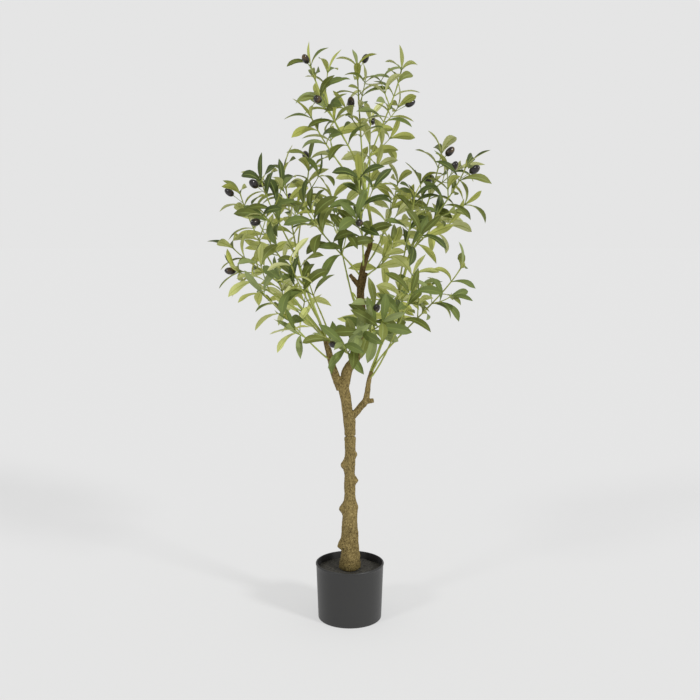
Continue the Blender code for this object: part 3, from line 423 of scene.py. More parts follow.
def rods(paths, radii, sides):
    """Round rods along many paths: each ring is path + r (cos a side + sin a back), and a
    pole closes each end."""
    tangents, across, back = carried_frames(paths)
    angles = 2 * np.pi * np.arange(sides) / sides
    spokes = np.cos(angles)[:, None] * across[..., None, :] + np.sin(angles)[:, None] * back[..., None, :]
    rings = paths[..., None, :] + radii[..., None, None] * spokes
    count, stations = paths.shape[:2]
    rings = rings.reshape(count, stations * sides, 3)
    ends = np.stack(
        (paths[:, 0] - 0.5 * radii[:, 0, None] * tangents[:, 0], paths[:, -1] + 0.5 * radii[:, -1, None] * tangents[:, -1]), 1
    )
    verts = np.concatenate((rings, ends), axis=1)
    size = stations * sides + 2
    quads = ring_quads(stations, sides, count, size)
    low = fans(0, sides, size - 2, count, size, inward=True)
    high = fans((stations - 1) * sides, sides, size - 1, count, size)
    return verts.reshape(-1, 3), quads, np.concatenate((low, high))


def principled(name, colour, roughness, **sockets):
    """A Principled material whose plain values sit on the shader itself."""
    finish = bpy.data.materials.new(name)
    finish.use_nodes = True
    shader = finish.node_tree.nodes["Principled BSDF"]
    shader.inputs["Base Color"].default_value = (*colour, 1.0)
    shader.inputs["Roughness"].default_value = roughness
    for socket, value in sockets.items():
        shader.inputs[socket.replace("_", " ")].default_value = value
    return finish, finish.node_tree, shader


def noise_node(tree, scale, detail=3.0, stretch=(1, 1, 1)):
    """A noise on Object coordinates, stretched along the axes."""
    place = tree.nodes.new("ShaderNodeTexCoord")
    mapping = tree.nodes.new("ShaderNodeMapping")
    mapping.inputs["Scale"].default_value = stretch
    noise = tree.nodes.new("ShaderNodeTexNoise")
    noise.inputs["Scale"].default_value = scale
    noise.inputs["Detail"].default_value = detail
    tree.links.new(place.outputs["Object"], mapping.inputs["Vector"])
    tree.links.new(mapping.outputs["Vector"], noise.inputs["Vector"])
    return noise


def colour_ramp(tree, source, stops):
    """A colour ramp fed by source, with stops of (place, colour)."""
    ramp = tree.nodes.new("ShaderNodeValToRGB")
    while len(ramp.color_ramp.elements) < len(stops):
        ramp.color_ramp.elements.new(0.5)
    for element, (place, colour) in zip(ramp.color_ramp.elements, stops):
        element.position = place
        element.color = (*colour, 1.0)
    tree.links.new(source, ramp.inputs["Fac"])
    return ramp


def add_bump(tree, shader, height, strength, distance):
    """A bump from a height onto the shader's normal."""
    bump = tree.nodes.new("ShaderNodeBump")
    bump.inputs["Strength"].default_value = strength
    bump.inputs["Distance"].default_value = distance
    tree.links.new(height, bump.inputs["Height"])
    tree.links.new(bump.outputs["Normal"], shader.inputs["Normal"])


# Finishes, colours in linear light
BARK_SHADES = (
    (0.30, (0.080, 0.056, 0.020)),
    (0.44, (0.175, 0.128, 0.047)),
    (0.57, (0.255, 0.190, 0.070)),
    (0.76, (0.390, 0.300, 0.130)),
)
BARK_SHADE_TONE = (0.52, 0.46, 0.42)  # tone of the painted shade on the bark high up, under the crown, to the bark below
BARK_SHADE_HEIGHTS = (0.56, 0.66)  # heights between which it changes
BARK_LOW = (0.50, 0.50, 0.42)  # tone at the very foot
BARK_FOOT = (0.108, 0.136)
LEAF_TOPS = (
    (0.076, 0.106, 0.023),
    (0.123, 0.146, 0.025),
    (0.156, 0.202, 0.050),
    (0.230, 0.259, 0.060),
    (0.276, 0.328, 0.122),
)
TINT_STEPS = (-1, 0, 0, 1, 2)  # how far a leaf's tint may lie from its spray's
LEAF_UNDERS = ((0.48, 0.505, 0.115), (0.56, 0.59, 0.165), (0.63, 0.66, 0.235), (0.68, 0.70, 0.32))
UNDER_SHARES = (0.15, 0.35, 0.30, 0.20)  # how common each is
# Tones of a leaf's two half blades: the second is painted shade
PAINTED_HALF_SHADES = (1.0, 0.90)
RIB_TOPS = ((0.20, 0.25, 0.06), (0.30, 0.35, 0.12))
RIB_UNDERS = ((0.32, 0.36, 0.06), (0.42, 0.47, 0.10))
STALK_GREEN = (0.27, 0.32, 0.065)


def bark_finish():
    """Moulded foam bark: a ramp over the relief, mottled by two noises, matt."""
    finish, tree, shader = principled("moulded_bark", (0.2, 0.15, 0.06), 0.85, Specular_IOR_Level=0.2)
    relief = tree.nodes.new("ShaderNodeAttribute")
    relief.attribute_name = "relief"
    flecks = noise_node(tree, 430.0, 4.0, (1, 1, 0.8))
    patches = noise_node(tree, 45.0, 2.0, (1, 1, 0.5))
    # The ramp follows the relief: painted shade in its low places and painted light on its high ones, mottled by the
    # two noises
    level = relief.outputs["Fac"]
    for source, weight in ((flecks.outputs["Fac"], 0.75), (patches.outputs["Fac"], 0.16)):
        more = tree.nodes.new("ShaderNodeMath")
        more.operation = "MULTIPLY_ADD"
        more.inputs[1].default_value = weight
        tree.links.new(source, more.inputs[0])
        tree.links.new(level, more.inputs[2])
        level = more.outputs["Value"]
    middle = tree.nodes.new("ShaderNodeMath")
    middle.operation = "SUBTRACT"
    middle.inputs[1].default_value = 0.455
    tree.links.new(level, middle.inputs[0])
    ramp = colour_ramp(tree, middle.outputs["Value"], BARK_SHADES)
    place = tree.nodes.new("ShaderNodeTexCoord")
    axes = tree.nodes.new("ShaderNodeSeparateXYZ")
    tree.links.new(place.outputs["Object"], axes.inputs["Vector"])
    # Painted shade: the bark high up, where the crown shades it, is multiplied darker
    high = tree.nodes.new("ShaderNodeMapRange")
    high.inputs["From Min"].default_value = BARK_SHADE_HEIGHTS[0]
    high.inputs["From Max"].default_value = BARK_SHADE_HEIGHTS[1]
    tree.links.new(axes.outputs["Z"], high.inputs["Value"])
    darker = tree.nodes.new("ShaderNodeMix")
    darker.data_type = "RGBA"
    darker.blend_type = "MULTIPLY"
    darker.inputs["B"].default_value = (*BARK_SHADE_TONE, 1.0)
    tree.links.new(high.outputs["Result"], darker.inputs["Factor"])
    tree.links.new(ramp.outputs["Color"], darker.inputs["A"])
    low = tree.nodes.new("ShaderNodeMapRange")
    low.inputs["From Min"].default_value = BARK_FOOT[1]
    low.inputs["From Max"].default_value = BARK_FOOT[0]
    tree.links.new(axes.outputs["Z"], low.inputs["Value"])
    foot = tree.nodes.new("ShaderNodeMix")
    foot.data_type = "RGBA"
    foot.blend_type = "MULTIPLY"
    foot.inputs["B"].default_value = (*BARK_LOW, 1.0)
    tree.links.new(low.outputs["Result"], foot.inputs["Factor"])
    tree.links.new(darker.outputs["Result"], foot.inputs["A"])
    tree.links.new(foot.outputs["Result"], shader.inputs["Base Color"])
    add_bump(tree, shader, flecks.outputs["Fac"], 0.6, 0.0007)
    return finish


def side_veins(tree):
    """Height of a leaf's side veins: a sine of its place along the leaf, run forward towards
    the edges, on the piece's own blade attribute (place across, place along, leaf)."""
    blade = tree.nodes.new("ShaderNodeAttribute")
    blade.attribute_name = "blade"
    axes = tree.nodes.new("ShaderNodeSeparateXYZ")
    tree.links.new(blade.outputs["Vector"], axes.inputs["Vector"])
    across = tree.nodes.new("ShaderNodeMath")
    across.operation = "ABSOLUTE"
    tree.links.new(axes.outputs["X"], across.inputs[0])
    forward = tree.nodes.new("ShaderNodeMath")
    forward.operation = "MULTIPLY_ADD"
    forward.inputs[1].default_value = -VEIN_SLANT
    tree.links.new(across.outputs["Value"], forward.inputs[0])
    tree.links.new(axes.outputs["Y"], forward.inputs[2])
    turns = tree.nodes.new("ShaderNodeMath")
    turns.operation = "MULTIPLY"
    turns.inputs[1].default_value = 2 * math.pi * VEINS
    tree.links.new(forward.outputs["Value"], turns.inputs[0])
    wave = tree.nodes.new("ShaderNodeMath")
    wave.operation = "SINE"
    tree.links.new(turns.outputs["Value"], wave.inputs[0])
    return wave.outputs["Value"]


def leaf_finishes():
    """Printed cloth leaves: plain colours for the blades, ribs and stalks, with side veins in relief on the blades.
    """
    finishes = []
    # Each tint comes twice, plain and with painted shade, for the shaded half of a blade
    rows = [("leaf_top", half_shade * np.array(colour), 0.50) for colour in LEAF_TOPS for half_shade in PAINTED_HALF_SHADES]
    rows += [("leaf_underside", half_shade * np.array(colour), 0.62) for colour in LEAF_UNDERS for half_shade in PAINTED_HALF_SHADES]
    rows += [("leaf_rib", colour, 0.5) for colour in RIB_TOPS]
    rows += [("leaf_rib_underside", colour, 0.6) for colour in RIB_UNDERS]
    rows += [("leaf_stalk", STALK_GREEN, 0.45)]
    for number, (name, colour, roughness) in enumerate(rows):
        finish, tree, shader = principled(f"{name}_{number + 1}", colour, roughness, Specular_IOR_Level=0.25)
        if name.startswith(("leaf_top", "leaf_underside")):
            add_bump(tree, shader, side_veins(tree), 0.45, 0.0002)
        finishes.append(finish)
    return finishes


def plastic_finish(name, brown, green):
    """Yellow-green plastic, a little browner in places."""
    finish, tree, shader = principled(name, green, 0.42)
    patches = noise_node(tree, 22.0, 2.0)
    ramp = colour_ramp(tree, patches.outputs["Fac"], ((0.35, brown), (0.62, green)))
    tree.links.new(ramp.outputs["Color"], shader.inputs["Base Color"])
    return finish


def olive_finish():
    """Near-black glossy plastic with brown-green patches."""
    finish, tree, shader = principled("olive_skin", (0.012, 0.008, 0.009), 0.34, Specular_IOR_Level=0.3, Coat_Weight=0.7, Coat_Roughness=0.08)
    patches = noise_node(tree, 62.0, 1.0)
    ramp = colour_ramp(
        tree,
        patches.outputs["Fac"],
        ((0.50, (0.011, 0.007, 0.009)), (0.60, (0.035, 0.020, 0.010)), (0.72, (0.11, 0.065, 0.015))),
    )
    tree.links.new(ramp.outputs["Color"], shader.inputs["Base Color"])
    return finish


def pot_finish():
    """Satin black moulded plastic."""
    finish, tree, shader = principled("pot_plastic", (0.027, 0.0268, 0.0262), 0.42)
    grain = noise_node(tree, 900.0, 2.0)
    add_bump(tree, shader, grain.outputs["Fac"], 0.10, 0.0003)
    return finish


def fill_finish():
    """Dark fill, matt and granular."""
    finish, tree, shader = principled("fill_dark", (0.02, 0.019, 0.018), 0.88)
    grains = noise_node(tree, 260.0, 4.0)
    ramp = colour_ramp(tree, grains.outputs["Fac"], ((0.35, (0.019, 0.0178, 0.015)), (0.70, (0.080, 0.074, 0.060))))
    tree.links.new(ramp.outputs["Color"], shader.inputs["Base Color"])
    add_bump(tree, shader, grains.outputs["Fac"], 0.8, 0.0012)
    return finish


def lathe(name, profile, sides, finishes):
    """A surface turned about +Z: each profile row (radius, z) makes a ring, and the first
    and last rows, of radius 0, are poles."""
    profile = np.asarray(profile)
    inner = profile[1:-1]
    angles = 2 * np.pi * np.arange(sides) / sides
    rings = np.stack(
        (
            inner[:, :1] * np.cos(angles),
            inner[:, :1] * np.sin(angles),
            np.repeat(inner[:, 1:], sides, axis=1),
        ),
        -1,
    ).reshape(-1, 3)
    poles = np.array(((0, 0, profile[0, 1]), (0, 0, profile[-1, 1])))
    verts = np.concatenate((rings, poles))
    last = (len(inner) - 1) * sides
    triangles = np.concatenate((fans(0, sides, len(verts) - 2, inward=True), fans(last, sides, len(verts) - 1)))
    return piece(name, verts, (ring_quads(len(inner), sides), triangles), finishes)


def arc(centre, radius, start, end, count):
    """Points on an arc in the profile plane, angles in degrees from outwards."""
    angles = np.radians(np.linspace(start, end, count))
    return np.stack((centre[0] + radius * np.cos(angles), centre[1] + radius * np.sin(angles)), 1)


def make_pot():
    """The pot as one turned wall: foot, tapering side, rolled lip, inside and floor."""
    lip = LIP_HEIGHT / 2
    lip_radius = LIP_OUT
    body_top = POT_RIM_RADIUS - LIP_OUT
    foot = 0.0022
    inner_rim = body_top - POT_WALL
    inner_base = POT_BASE_RADIUS - POT_WALL
    profile = np.concatenate(
        (
            ((0, 0), (POT_BASE_RADIUS * 0.5, 0)),
            arc((POT_BASE_RADIUS - foot, foot), foot, -90, 0, 7),
            np.stack(
                (
                    np.linspace(POT_BASE_RADIUS, body_top, 14)[1:],
                    np.linspace(foot, POT_HEIGHT - LIP_HEIGHT - 0.0006, 14)[1:],
                ),
                1,
            ),
            arc((POT_RIM_RADIUS - lip_radius, POT_HEIGHT - LIP_HEIGHT + lip_radius), lip_radius, -80, 0, 5),
            arc((POT_RIM_RADIUS - lip, POT_HEIGHT - lip), lip, 0, 90, 8),
            arc((inner_rim + 0.0006, POT_HEIGHT - 0.0006), 0.0006, 90, 180, 4),
            np.stack((np.linspace(inner_rim, inner_base, 10)[1:], np.linspace(POT_HEIGHT - 0.004, POT_FLOOR, 10)[1:]), 1),
            ((0, POT_FLOOR),),
        )
    )
    pot = lathe("pot_shell", profile, POT_TURN, [pot_finish()])
    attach(pot, "root")
    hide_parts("pot")


def make_fill():
    """The fill's top as a polar grid: height is a drop towards the wall, plus two noises."""
    rings, sides = 46, 180
    top, radius = FILL_HIGH.z, FILL_HIGH.x
    share = np.linspace(0.02, 1.0, rings)
    angles = 2 * np.pi * np.arange(sides) / sides
    x = radius * share[:, None] * np.cos(angles)
    y = radius * share[:, None] * np.sin(angles)
    flat = np.stack((x.ravel(), y.ravel(), np.zeros(x.size)), 1)
    grains = lattice_noise(flat * 420, 3) - 0.5
    lumps = lattice_noise(flat * 75, 4) - 0.5
    height = top - 0.0012 * np.repeat(share, sides) ** 2 + 0.0016 * grains + 0.0024 * lumps
    flat[:, 2] = height
    under = np.stack((radius * np.cos(angles), radius * np.sin(angles), np.full(sides, POT_FLOOR + 0.0005)), 1)
    poles = np.array(((0, 0, top), (0, 0, POT_FLOOR + 0.0005)))
    poles[0, 2] = height[:sides].mean()
    # The foot is narrower than the top, as the pot's inside is
    under[:, :2] *= (POT_BASE_RADIUS - POT_WALL - 0.0006) / radius
    verts = np.concatenate((flat, under, poles))
    quads = ring_quads(rings + 1, sides)[:, ::-1]
    triangles = np.concatenate((fans(0, sides, len(verts) - 2), fans(rings * sides, sides, len(verts) - 1, inward=True)))
    fill = piece("fill_top", verts, (quads, triangles), [fill_finish()])
    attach(fill, "root")
    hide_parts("fill")


def knot_relief(heights, angles):
    """How far knots push the skin out: a bell in height, wider above than below, times a
    narrow lobe round the limb."""
    out = np.zeros_like(heights)
    for height, azimuth, size, above, below in KNOTS:
        lobe = np.maximum(0.0, np.cos(angles - math.radians(azimuth))) ** KNOT_FOCUS
        rise = heights - height * MM
        spread = np.where(rise > 0, above, below) * MM
        out += size * MM * lobe * np.exp(-((rise / spread) ** 2))
    return out


def bark_relief(points, normals):
    """Height of the bark in metres at each point: grains of two sizes all over, crossing
    fibres near the foot and upright ridges above them. Also given with soft lumps added."""
    z = points[:, 2]
    angle = np.arctan2(normals[:, 1], normals[:, 0])
    foot = np.clip(1 - (z - FIBRE_TURN) / 0.09, 0.0, 1.0)
    wander = 4.2 * lattice_noise(points * 75, 1)
    crossing = np.abs(np.sin(9 * angle + 900 * z + wander)) * np.abs(np.sin(12 * angle - 820 * z - 1.3 * wander))
    grains = lattice_noise(points * np.array((560, 560, 420)), 6)
    fine = lattice_noise(points * 900, 12)
    lumps = lattice_noise(points * np.array((150, 150, 110)), 7)
    ridges = 1 - np.abs(2 * lattice_noise(points * np.array((420, 420, 150)), 8) - 1)
    height = 0.0007 * foot * (crossing - 0.4) + 0.0009 * (grains - 0.5) + 0.0004 * (fine - 0.5)
    height += (1 - 0.6 * foot) * 0.0005 * (ridges - 0.6)
    return height, height + 0.0010 * (lumps - 0.5)


def roughen(obj, share=1.0):
    """Moves each vertex along its normal by the bark's relief, and keeps the relief, as 0 to
    1, in an attribute for the finish."""
    mesh = obj.data
    points = np.empty(len(mesh.vertices) * 3, dtype=np.float32)
    normals = np.empty_like(points)
    mesh.vertices.foreach_get("co", points)
    mesh.vertices.foreach_get("normal", normals)
    points = points.reshape(-1, 3).astype(float)
    normals = normals.reshape(-1, 3).astype(float)
    texture, height = bark_relief(points, normals)
    points += share * height[:, None] * normals
    mesh.vertices.foreach_set("co", points.astype(np.float32).ravel())
    relief = mesh.attributes.new("relief", "FLOAT", "POINT")
    relief.data.foreach_set("value", np.clip(0.5 + texture / 0.0030, 0, 1).astype(np.float32))
    mesh.update()


def limb_rings(points, radii, sides, knots=True):
    """A limb as rings: radius times an uneven ripple, plus knots, closed by poles."""
    tangents = unit(np.gradient(points, axis=0))
    across = unit(np.array((1.0, 0.0, 0.0)) - tangents[:, :1] * tangents)
    back = np.cross(tangents, across)
    angles = np.broadcast_to(2 * np.pi * np.arange(sides) / sides, (len(points), sides))
    heights = np.broadcast_to(points[:, 2:], angles.shape)
    ripple = 1 + 0.045 * np.sin(3 * angles + heights * 55.0) + 0.027 * np.sin(2 * angles - heights * 131.0 + 1.3)
    radius = radii[:, None] * ripple
    if knots:
        radius = radius + knot_relief(heights, angles)
    spokes = np.cos(angles)[..., None] * across[:, None] + np.sin(angles)[..., None] * back[:, None]
    rings = (points[:, None] + radius[..., None] * spokes).reshape(-1, 3)
    verts = np.concatenate((rings, points[:1], points[-1:]))
    quads = ring_quads(len(points), sides)
    low = fans(0, sides, len(verts) - 2, inward=True)
    high = fans((len(points) - 1) * sides, sides, len(verts) - 1)
    return verts, quads, np.concatenate((low, high))


def make_trunk():
    """The lower trunk is one grid. The upper trunk, boughs and stubs are grids that are
    merged by a fine voxel skin, so that the forks run into each other as they do when
    moulded."""
    bark = bark_finish()
    points, radii = cut_path(*smooth_path(LOWER_TRUNK), 0.0, 1.0, 380)
    # Both ends of a moulded piece are rounded over
    edge = np.minimum(sum_along(points), sum_along(points)[-1] - sum_along(points))
    radii = radii - EDGE_DEPTH * np.exp(-edge / EDGE_REACH)
    verts, quads, ends = limb_rings(points, radii, 140)
    lower = piece("lower_trunk_bark", verts, (quads, ends), [bark])
    roughen(lower)
    parts = []
    rows = [(UPPER_TRUNK, True)] + [(rows, False) for rows in BOUGHS.values()] + [(rows, False) for rows in STUBS]
    start = 0
    all_verts, all_quads, all_ends = [], [], []
    for rows, knots in rows:
        if len(rows) == 2:
            rows = (rows[0], tuple((a + b) / 2 for a, b in zip(*rows)), rows[1])
        points, radii = smooth_path(rows)
        count = max(4, int(sum_along(points)[-1] / 0.0025))
        points, radii = cut_path(points, radii, 0.0, 1.0, count)
        if rows is UPPER_TRUNK:
            radii = radii - EDGE_DEPTH * np.exp(-sum_along(points) / EDGE_REACH)
        verts, quads, ends = limb_rings(points, radii, 40, knots)
        all_verts.append(verts)
        all_quads.append(quads + start)
        all_ends.append(ends + start)
        start += len(verts)
    upper = piece("upper_trunk_bark", np.concatenate(all_verts), (np.concatenate(all_quads), np.concatenate(all_ends)), [bark])
    skin = upper.modifiers.new("skin", "REMESH")
    skin.mode = "VOXEL"
    skin.voxel_size = 0.0009
    skin.use_smooth_shade = True
    soften = upper.modifiers.new("soften", "SMOOTH")
    soften.factor = 0.6
    soften.iterations = 5
    shape = bpy.data.meshes.new_from_object(upper.evaluated_get(bpy.context.evaluated_depsgraph_get()))
    upper.modifiers.clear()
    upper.data = shape
    upper.data.materials.clear()
    upper.data.materials.append(bark)
    roughen(upper, 0.75)
    for obj, nodes in (
        (lower, ("lower_trunk",)),
        (upper, ("upper_trunk", "left_bough", "centre_bough", "side_bough")),
    ):
        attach(obj, "root")
        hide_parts(*nodes)


def seat(points, radii, share, azimuth):
    """Where a stem leaves a limb, just under its skin, and its way out: across the limb
    towards an azimuth, or along the limb at its tip."""
    along = sum_along(points)
    where = share * along[-1]
    point = np.array([np.interp(where, along, points[:, axis]) for axis in range(3)])
    radius = np.interp(where, along, radii)
    near, far = (
        np.array([np.interp(where + step, along, points[:, axis]) for axis in range(3)]) for step in (-0.004, 0.004)
    )
    tangent = unit(far - near)
    angle = math.radians(azimuth)
    outward = np.array((math.cos(angle), math.sin(angle), 0.0))
    outward = unit(outward - np.dot(outward, tangent) * tangent)
    if share >= 1:
        return point + 0.55 * radius * outward - 0.0012 * tangent, tangent
    return point + 0.5 * radius * outward, unit(outward + 1.1 * tangent)


class Crown:
    """Leaves, olives and twigs as they grow, with the places that are taken."""

    def __init__(self):
        self.leaves = []
        self.olives = []
        self.twigs = []
        self.taken = np.zeros((0, 3))

    def free(self, samples, clearance):
        """Whether no taken place is nearer than the clearance to any sample."""
        reach = np.abs(self.taken - samples.mean(axis=0)).max(axis=1)
        near = self.taken[reach < 0.06]
        if not len(near):
            return True
        gaps = np.linalg.norm(near[None] - samples[:, None], axis=-1)
        return gaps.min() > clearance

    def take(self, samples):
        self.taken = np.concatenate((self.taken, samples))


def leaf_samples(root, way, top, length, curl):
    """Five places along a leaf's midrib beyond its stalk, on its arc."""
    turn = curl * np.array((0.34, 0.5, 0.66, 0.82, 1.0))[:, None]
    return root + length / curl * (np.sin(turn) * way - (1 - np.cos(turn)) * top)


def grow_leaves(crown, spray, line, bare, rng, scale=1.0):
    """Pairs of leaves from a twig's end inwards, each pair a quarter turn on, with one leaf
    at the very end. A leaf that would meet another is turned a little, or left out."""
    main_tint, turned_share, own_size = LOOKS[spray]
    scale = scale * own_size
    spacing = PAIR_SPACING * own_size
    along = sum_along(line)
    tangents, across, back = carried_frames(line)
    at = along[-1]
    turn = rng.uniform(0, 360)
    step = 0
    while at > bare * along[-1]:
        near = min(int(np.searchsorted(along, at)), len(line) - 1)
        foot = np.array([np.interp(at, along, line[:, axis]) for axis in range(3)])
        size = scale * (END_LEAF + (1 - END_LEAF) * min(1.0, step / 2))
        for part in (2, 0, 1) if step == 0 else (0, 1):
            length = LEAF_LENGTH * size * rng.uniform(0.88, 1.10)
            lean = math.radians(LEAF_ANGLE + min(step, 3) * 4 + rng.uniform(-7, 7))
            curl = math.radians(rng.uniform(*LEAF_CURL))
            spin = turn + 180 * part + rng.uniform(-12, 12)
            width = length * LEAF_SLENDER * rng.uniform(0.90, 1.10)
            turned = rng.uniform() < turned_share
            twist = math.radians(rng.uniform(*(TURNED_TWIST if turned else LEAF_TWIST)))
            tint = min(max(main_tint + int(rng.choice(TINT_STEPS)), 0), len(LEAF_TOPS) - 1)
            under = int(rng.choice(len(LEAF_UNDERS), p=UNDER_SHARES))
            if part == 2:
                lean *= END_LEAN
                curl *= END_CURL
                spin += 90
                width *= 0.8
            for extra in range(LEAF_TRIES):
                change = TRY_TURN * ((extra + 1) // 2) * (1 if extra % 2 else -1)
                angle = math.radians(spin + change)
                outward = math.cos(angle) * across[near] + math.sin(angle) * back[near]
                way = math.cos(lean) * tangents[near] + math.sin(lean) * outward
                top = unit(tangents[near] * math.sin(lean) - outward * math.cos(lean))
                samples = leaf_samples(foot, way, top, length, curl)
                if crown.free(samples, LEAF_CLEARANCE):
                    crown.take(samples)
                    # The blade turns its top, or its underside, away from the middle of the tree
                    away = unit(np.array((0.5 * foot[0], foot[1] - CROWN_MIDDLE, 0.02)))
                    away = -away if turned else away
                    above = math.sin(curl / 2) * way + math.cos(curl / 2) * top
                    need = math.atan2(np.dot(np.cross(way, top), away), np.dot(above, away))
                    roll = -np.clip(1.3 * need, -twist, twist)
                    crown.leaves.append((spray, foot, way, top, length, width, curl, roll, tint, under))
                    break
        turn += 90 + rng.uniform(-20, 20)
        at -= spacing * rng.uniform(0.88, 1.14)
        step += 1


def grow_olive(crown, spray, line, rng):
    """An olive on a straight stalk near a twig's end, where there is room for it."""
    along = sum_along(line)
    tangents, across, back = carried_frames(line)
    at = along[-1] - PAIR_SPACING * rng.uniform(0.2, 0.8)
    near = min(int(np.searchsorted(along, at)), len(line) - 1)
    foot = np.array([np.interp(at, along, line[:, axis]) for axis in range(3)])
    away = unit(np.array((0.5 * foot[0], foot[1] - CROWN_MIDDLE, 0.01)))
    start = math.degrees(math.atan2(np.dot(back[near], away), np.dot(across[near], away)))
    stalk = rng.uniform(*OLIVE_STALK)
    length = rng.uniform(*OLIVE_LENGTH)
    for extra in range(LEAF_TRIES):
        angle = math.radians(start + extra * 2 * TRY_TURN)
        outward = math.cos(angle) * across[near] + math.sin(angle) * back[near]
        way = unit(0.85 * tangents[near] + 0.52 * outward)
        samples = foot + np.linspace(stalk, stalk + length, 4)[:, None] * way
        if crown.free(samples, 0.010):
            crown.take(samples)
            crown.olives.append((spray, foot, way, stalk, length))
            return


def grow_twig(crown, stem, share, reach, spread, turn, radii):
    """A side twig that leaves a stem at a spread from it and rises a little to its end, or
    nothing where there is no room for it."""
    along = sum_along(stem)
    tangents, across, back = carried_frames(stem)
    at = share * along[-1]
    near = int(np.searchsorted(along, at))
    root = np.array([np.interp(at, along, stem[:, axis]) for axis in range(3)])
    for extra in range(LEAF_TRIES):
        angle = math.radians(turn + extra * 2 * TRY_TURN)
        outward = math.cos(angle) * across[near] + math.sin(angle) * back[near]
        way = math.cos(spread) * tangents[near] + math.sin(spread) * outward
        goal = root + reach * unit(way + TWIG_RISE * UP)
        line = stem_path(root, way, goal, TWIG_LIFT, len(stem))
        if crown.free(line[len(line) // 3 :], TWIG_CLEARANCE):
            crown.take(line[len(line) // 3 :])
            crown.twigs.append((line, radii))
            return line
    return None


def grow_crown():
    """The source's rule, carried to finer twigs: a stem from its seat to its tip, side twigs
    at golden turns, olives near the ends, and pairs of leaves."""
    limbs = {}
    for name, rows in BOUGHS.items():
        limbs[name] = cut_path(*smooth_path(rows), FORK_CUTS[name], 1.0, 60)
    stems = []
    for name, (carrier, place, azimuth, tip, lift, foot_radius, tip_radius) in STEMS.items():
        foot, start = seat(*limbs[carrier], place, azimuth)
        points = stem_path(foot, start, np.array(tip) * MM, lift, 24)
        radii = np.linspace(foot_radius, tip_radius, len(points)) * MM
        limbs[name] = (points, radii)
        stems.append((points, radii))
    crown = Crown()
    for points, _ in limbs.values():
        crown.take(points[::2])
    lines = {}
    for name, row in SPRAYS.items():
        carrier, place, azimuth, tip, lift = row[:5]
        foot, start = seat(*limbs[carrier], place, azimuth)
        line = stem_path(foot, start, np.array(tip) * MM, lift, 24)
        lines[name] = [(line, row[5])]
        crown.twigs.append((line, STEM_RADII))
        crown.take(line[6:])
    for name, (_, _, _, _, _, bare, twigs, length, _, seed) in SPRAYS.items():
        rng = np.random.default_rng(seed)
        stem = lines[name][0][0]
        turn = rng.uniform(0, 360)
        for k in range(twigs):
            share = bare + (TWIG_LAST - bare) * (k + 0.3) / twigs + rng.uniform(-0.04, 0.04)
            reach = length * MM * (1 - TWIG_SHORTEN * k / twigs) * rng.uniform(0.9, 1.1)
            spread = math.radians(TWIG_ANGLE + rng.uniform(-6, 8))
            turn += GOLDEN_TURN + rng.uniform(-15, 15)
            line = grow_twig(crown, stem, share, reach, spread, turn, TWIG_RADII)
            if line is not None:
                lines[name].append((line, TWIG_BARE))
    for name, row in SPRAYS.items():
        rng = np.random.default_rng(row[9] + 1000)
        for number in range(row[8]):
            grow_olive(crown, name, lines[name][number % len(lines[name])][0], rng)
    for name, row in SPRAYS.items():
        rng = np.random.default_rng(row[9] + 2000)
        for line, bare in lines[name]:
            grow_leaves(crown, name, line, bare, rng)
        for line, _ in lines[name]:
            share = rng.uniform(*FINE_PLACES)
            spread = math.radians(TWIG_ANGLE + rng.uniform(-6, 12))
            fine = grow_twig(crown, line, share, rng.uniform(*FINE_LENGTH), spread, rng.uniform(0, 360), FINE_RADII)
            if fine is not None:
                grow_leaves(crown, name, fine, 0.6, rng, FINE_LEAF)
    return crown, stems


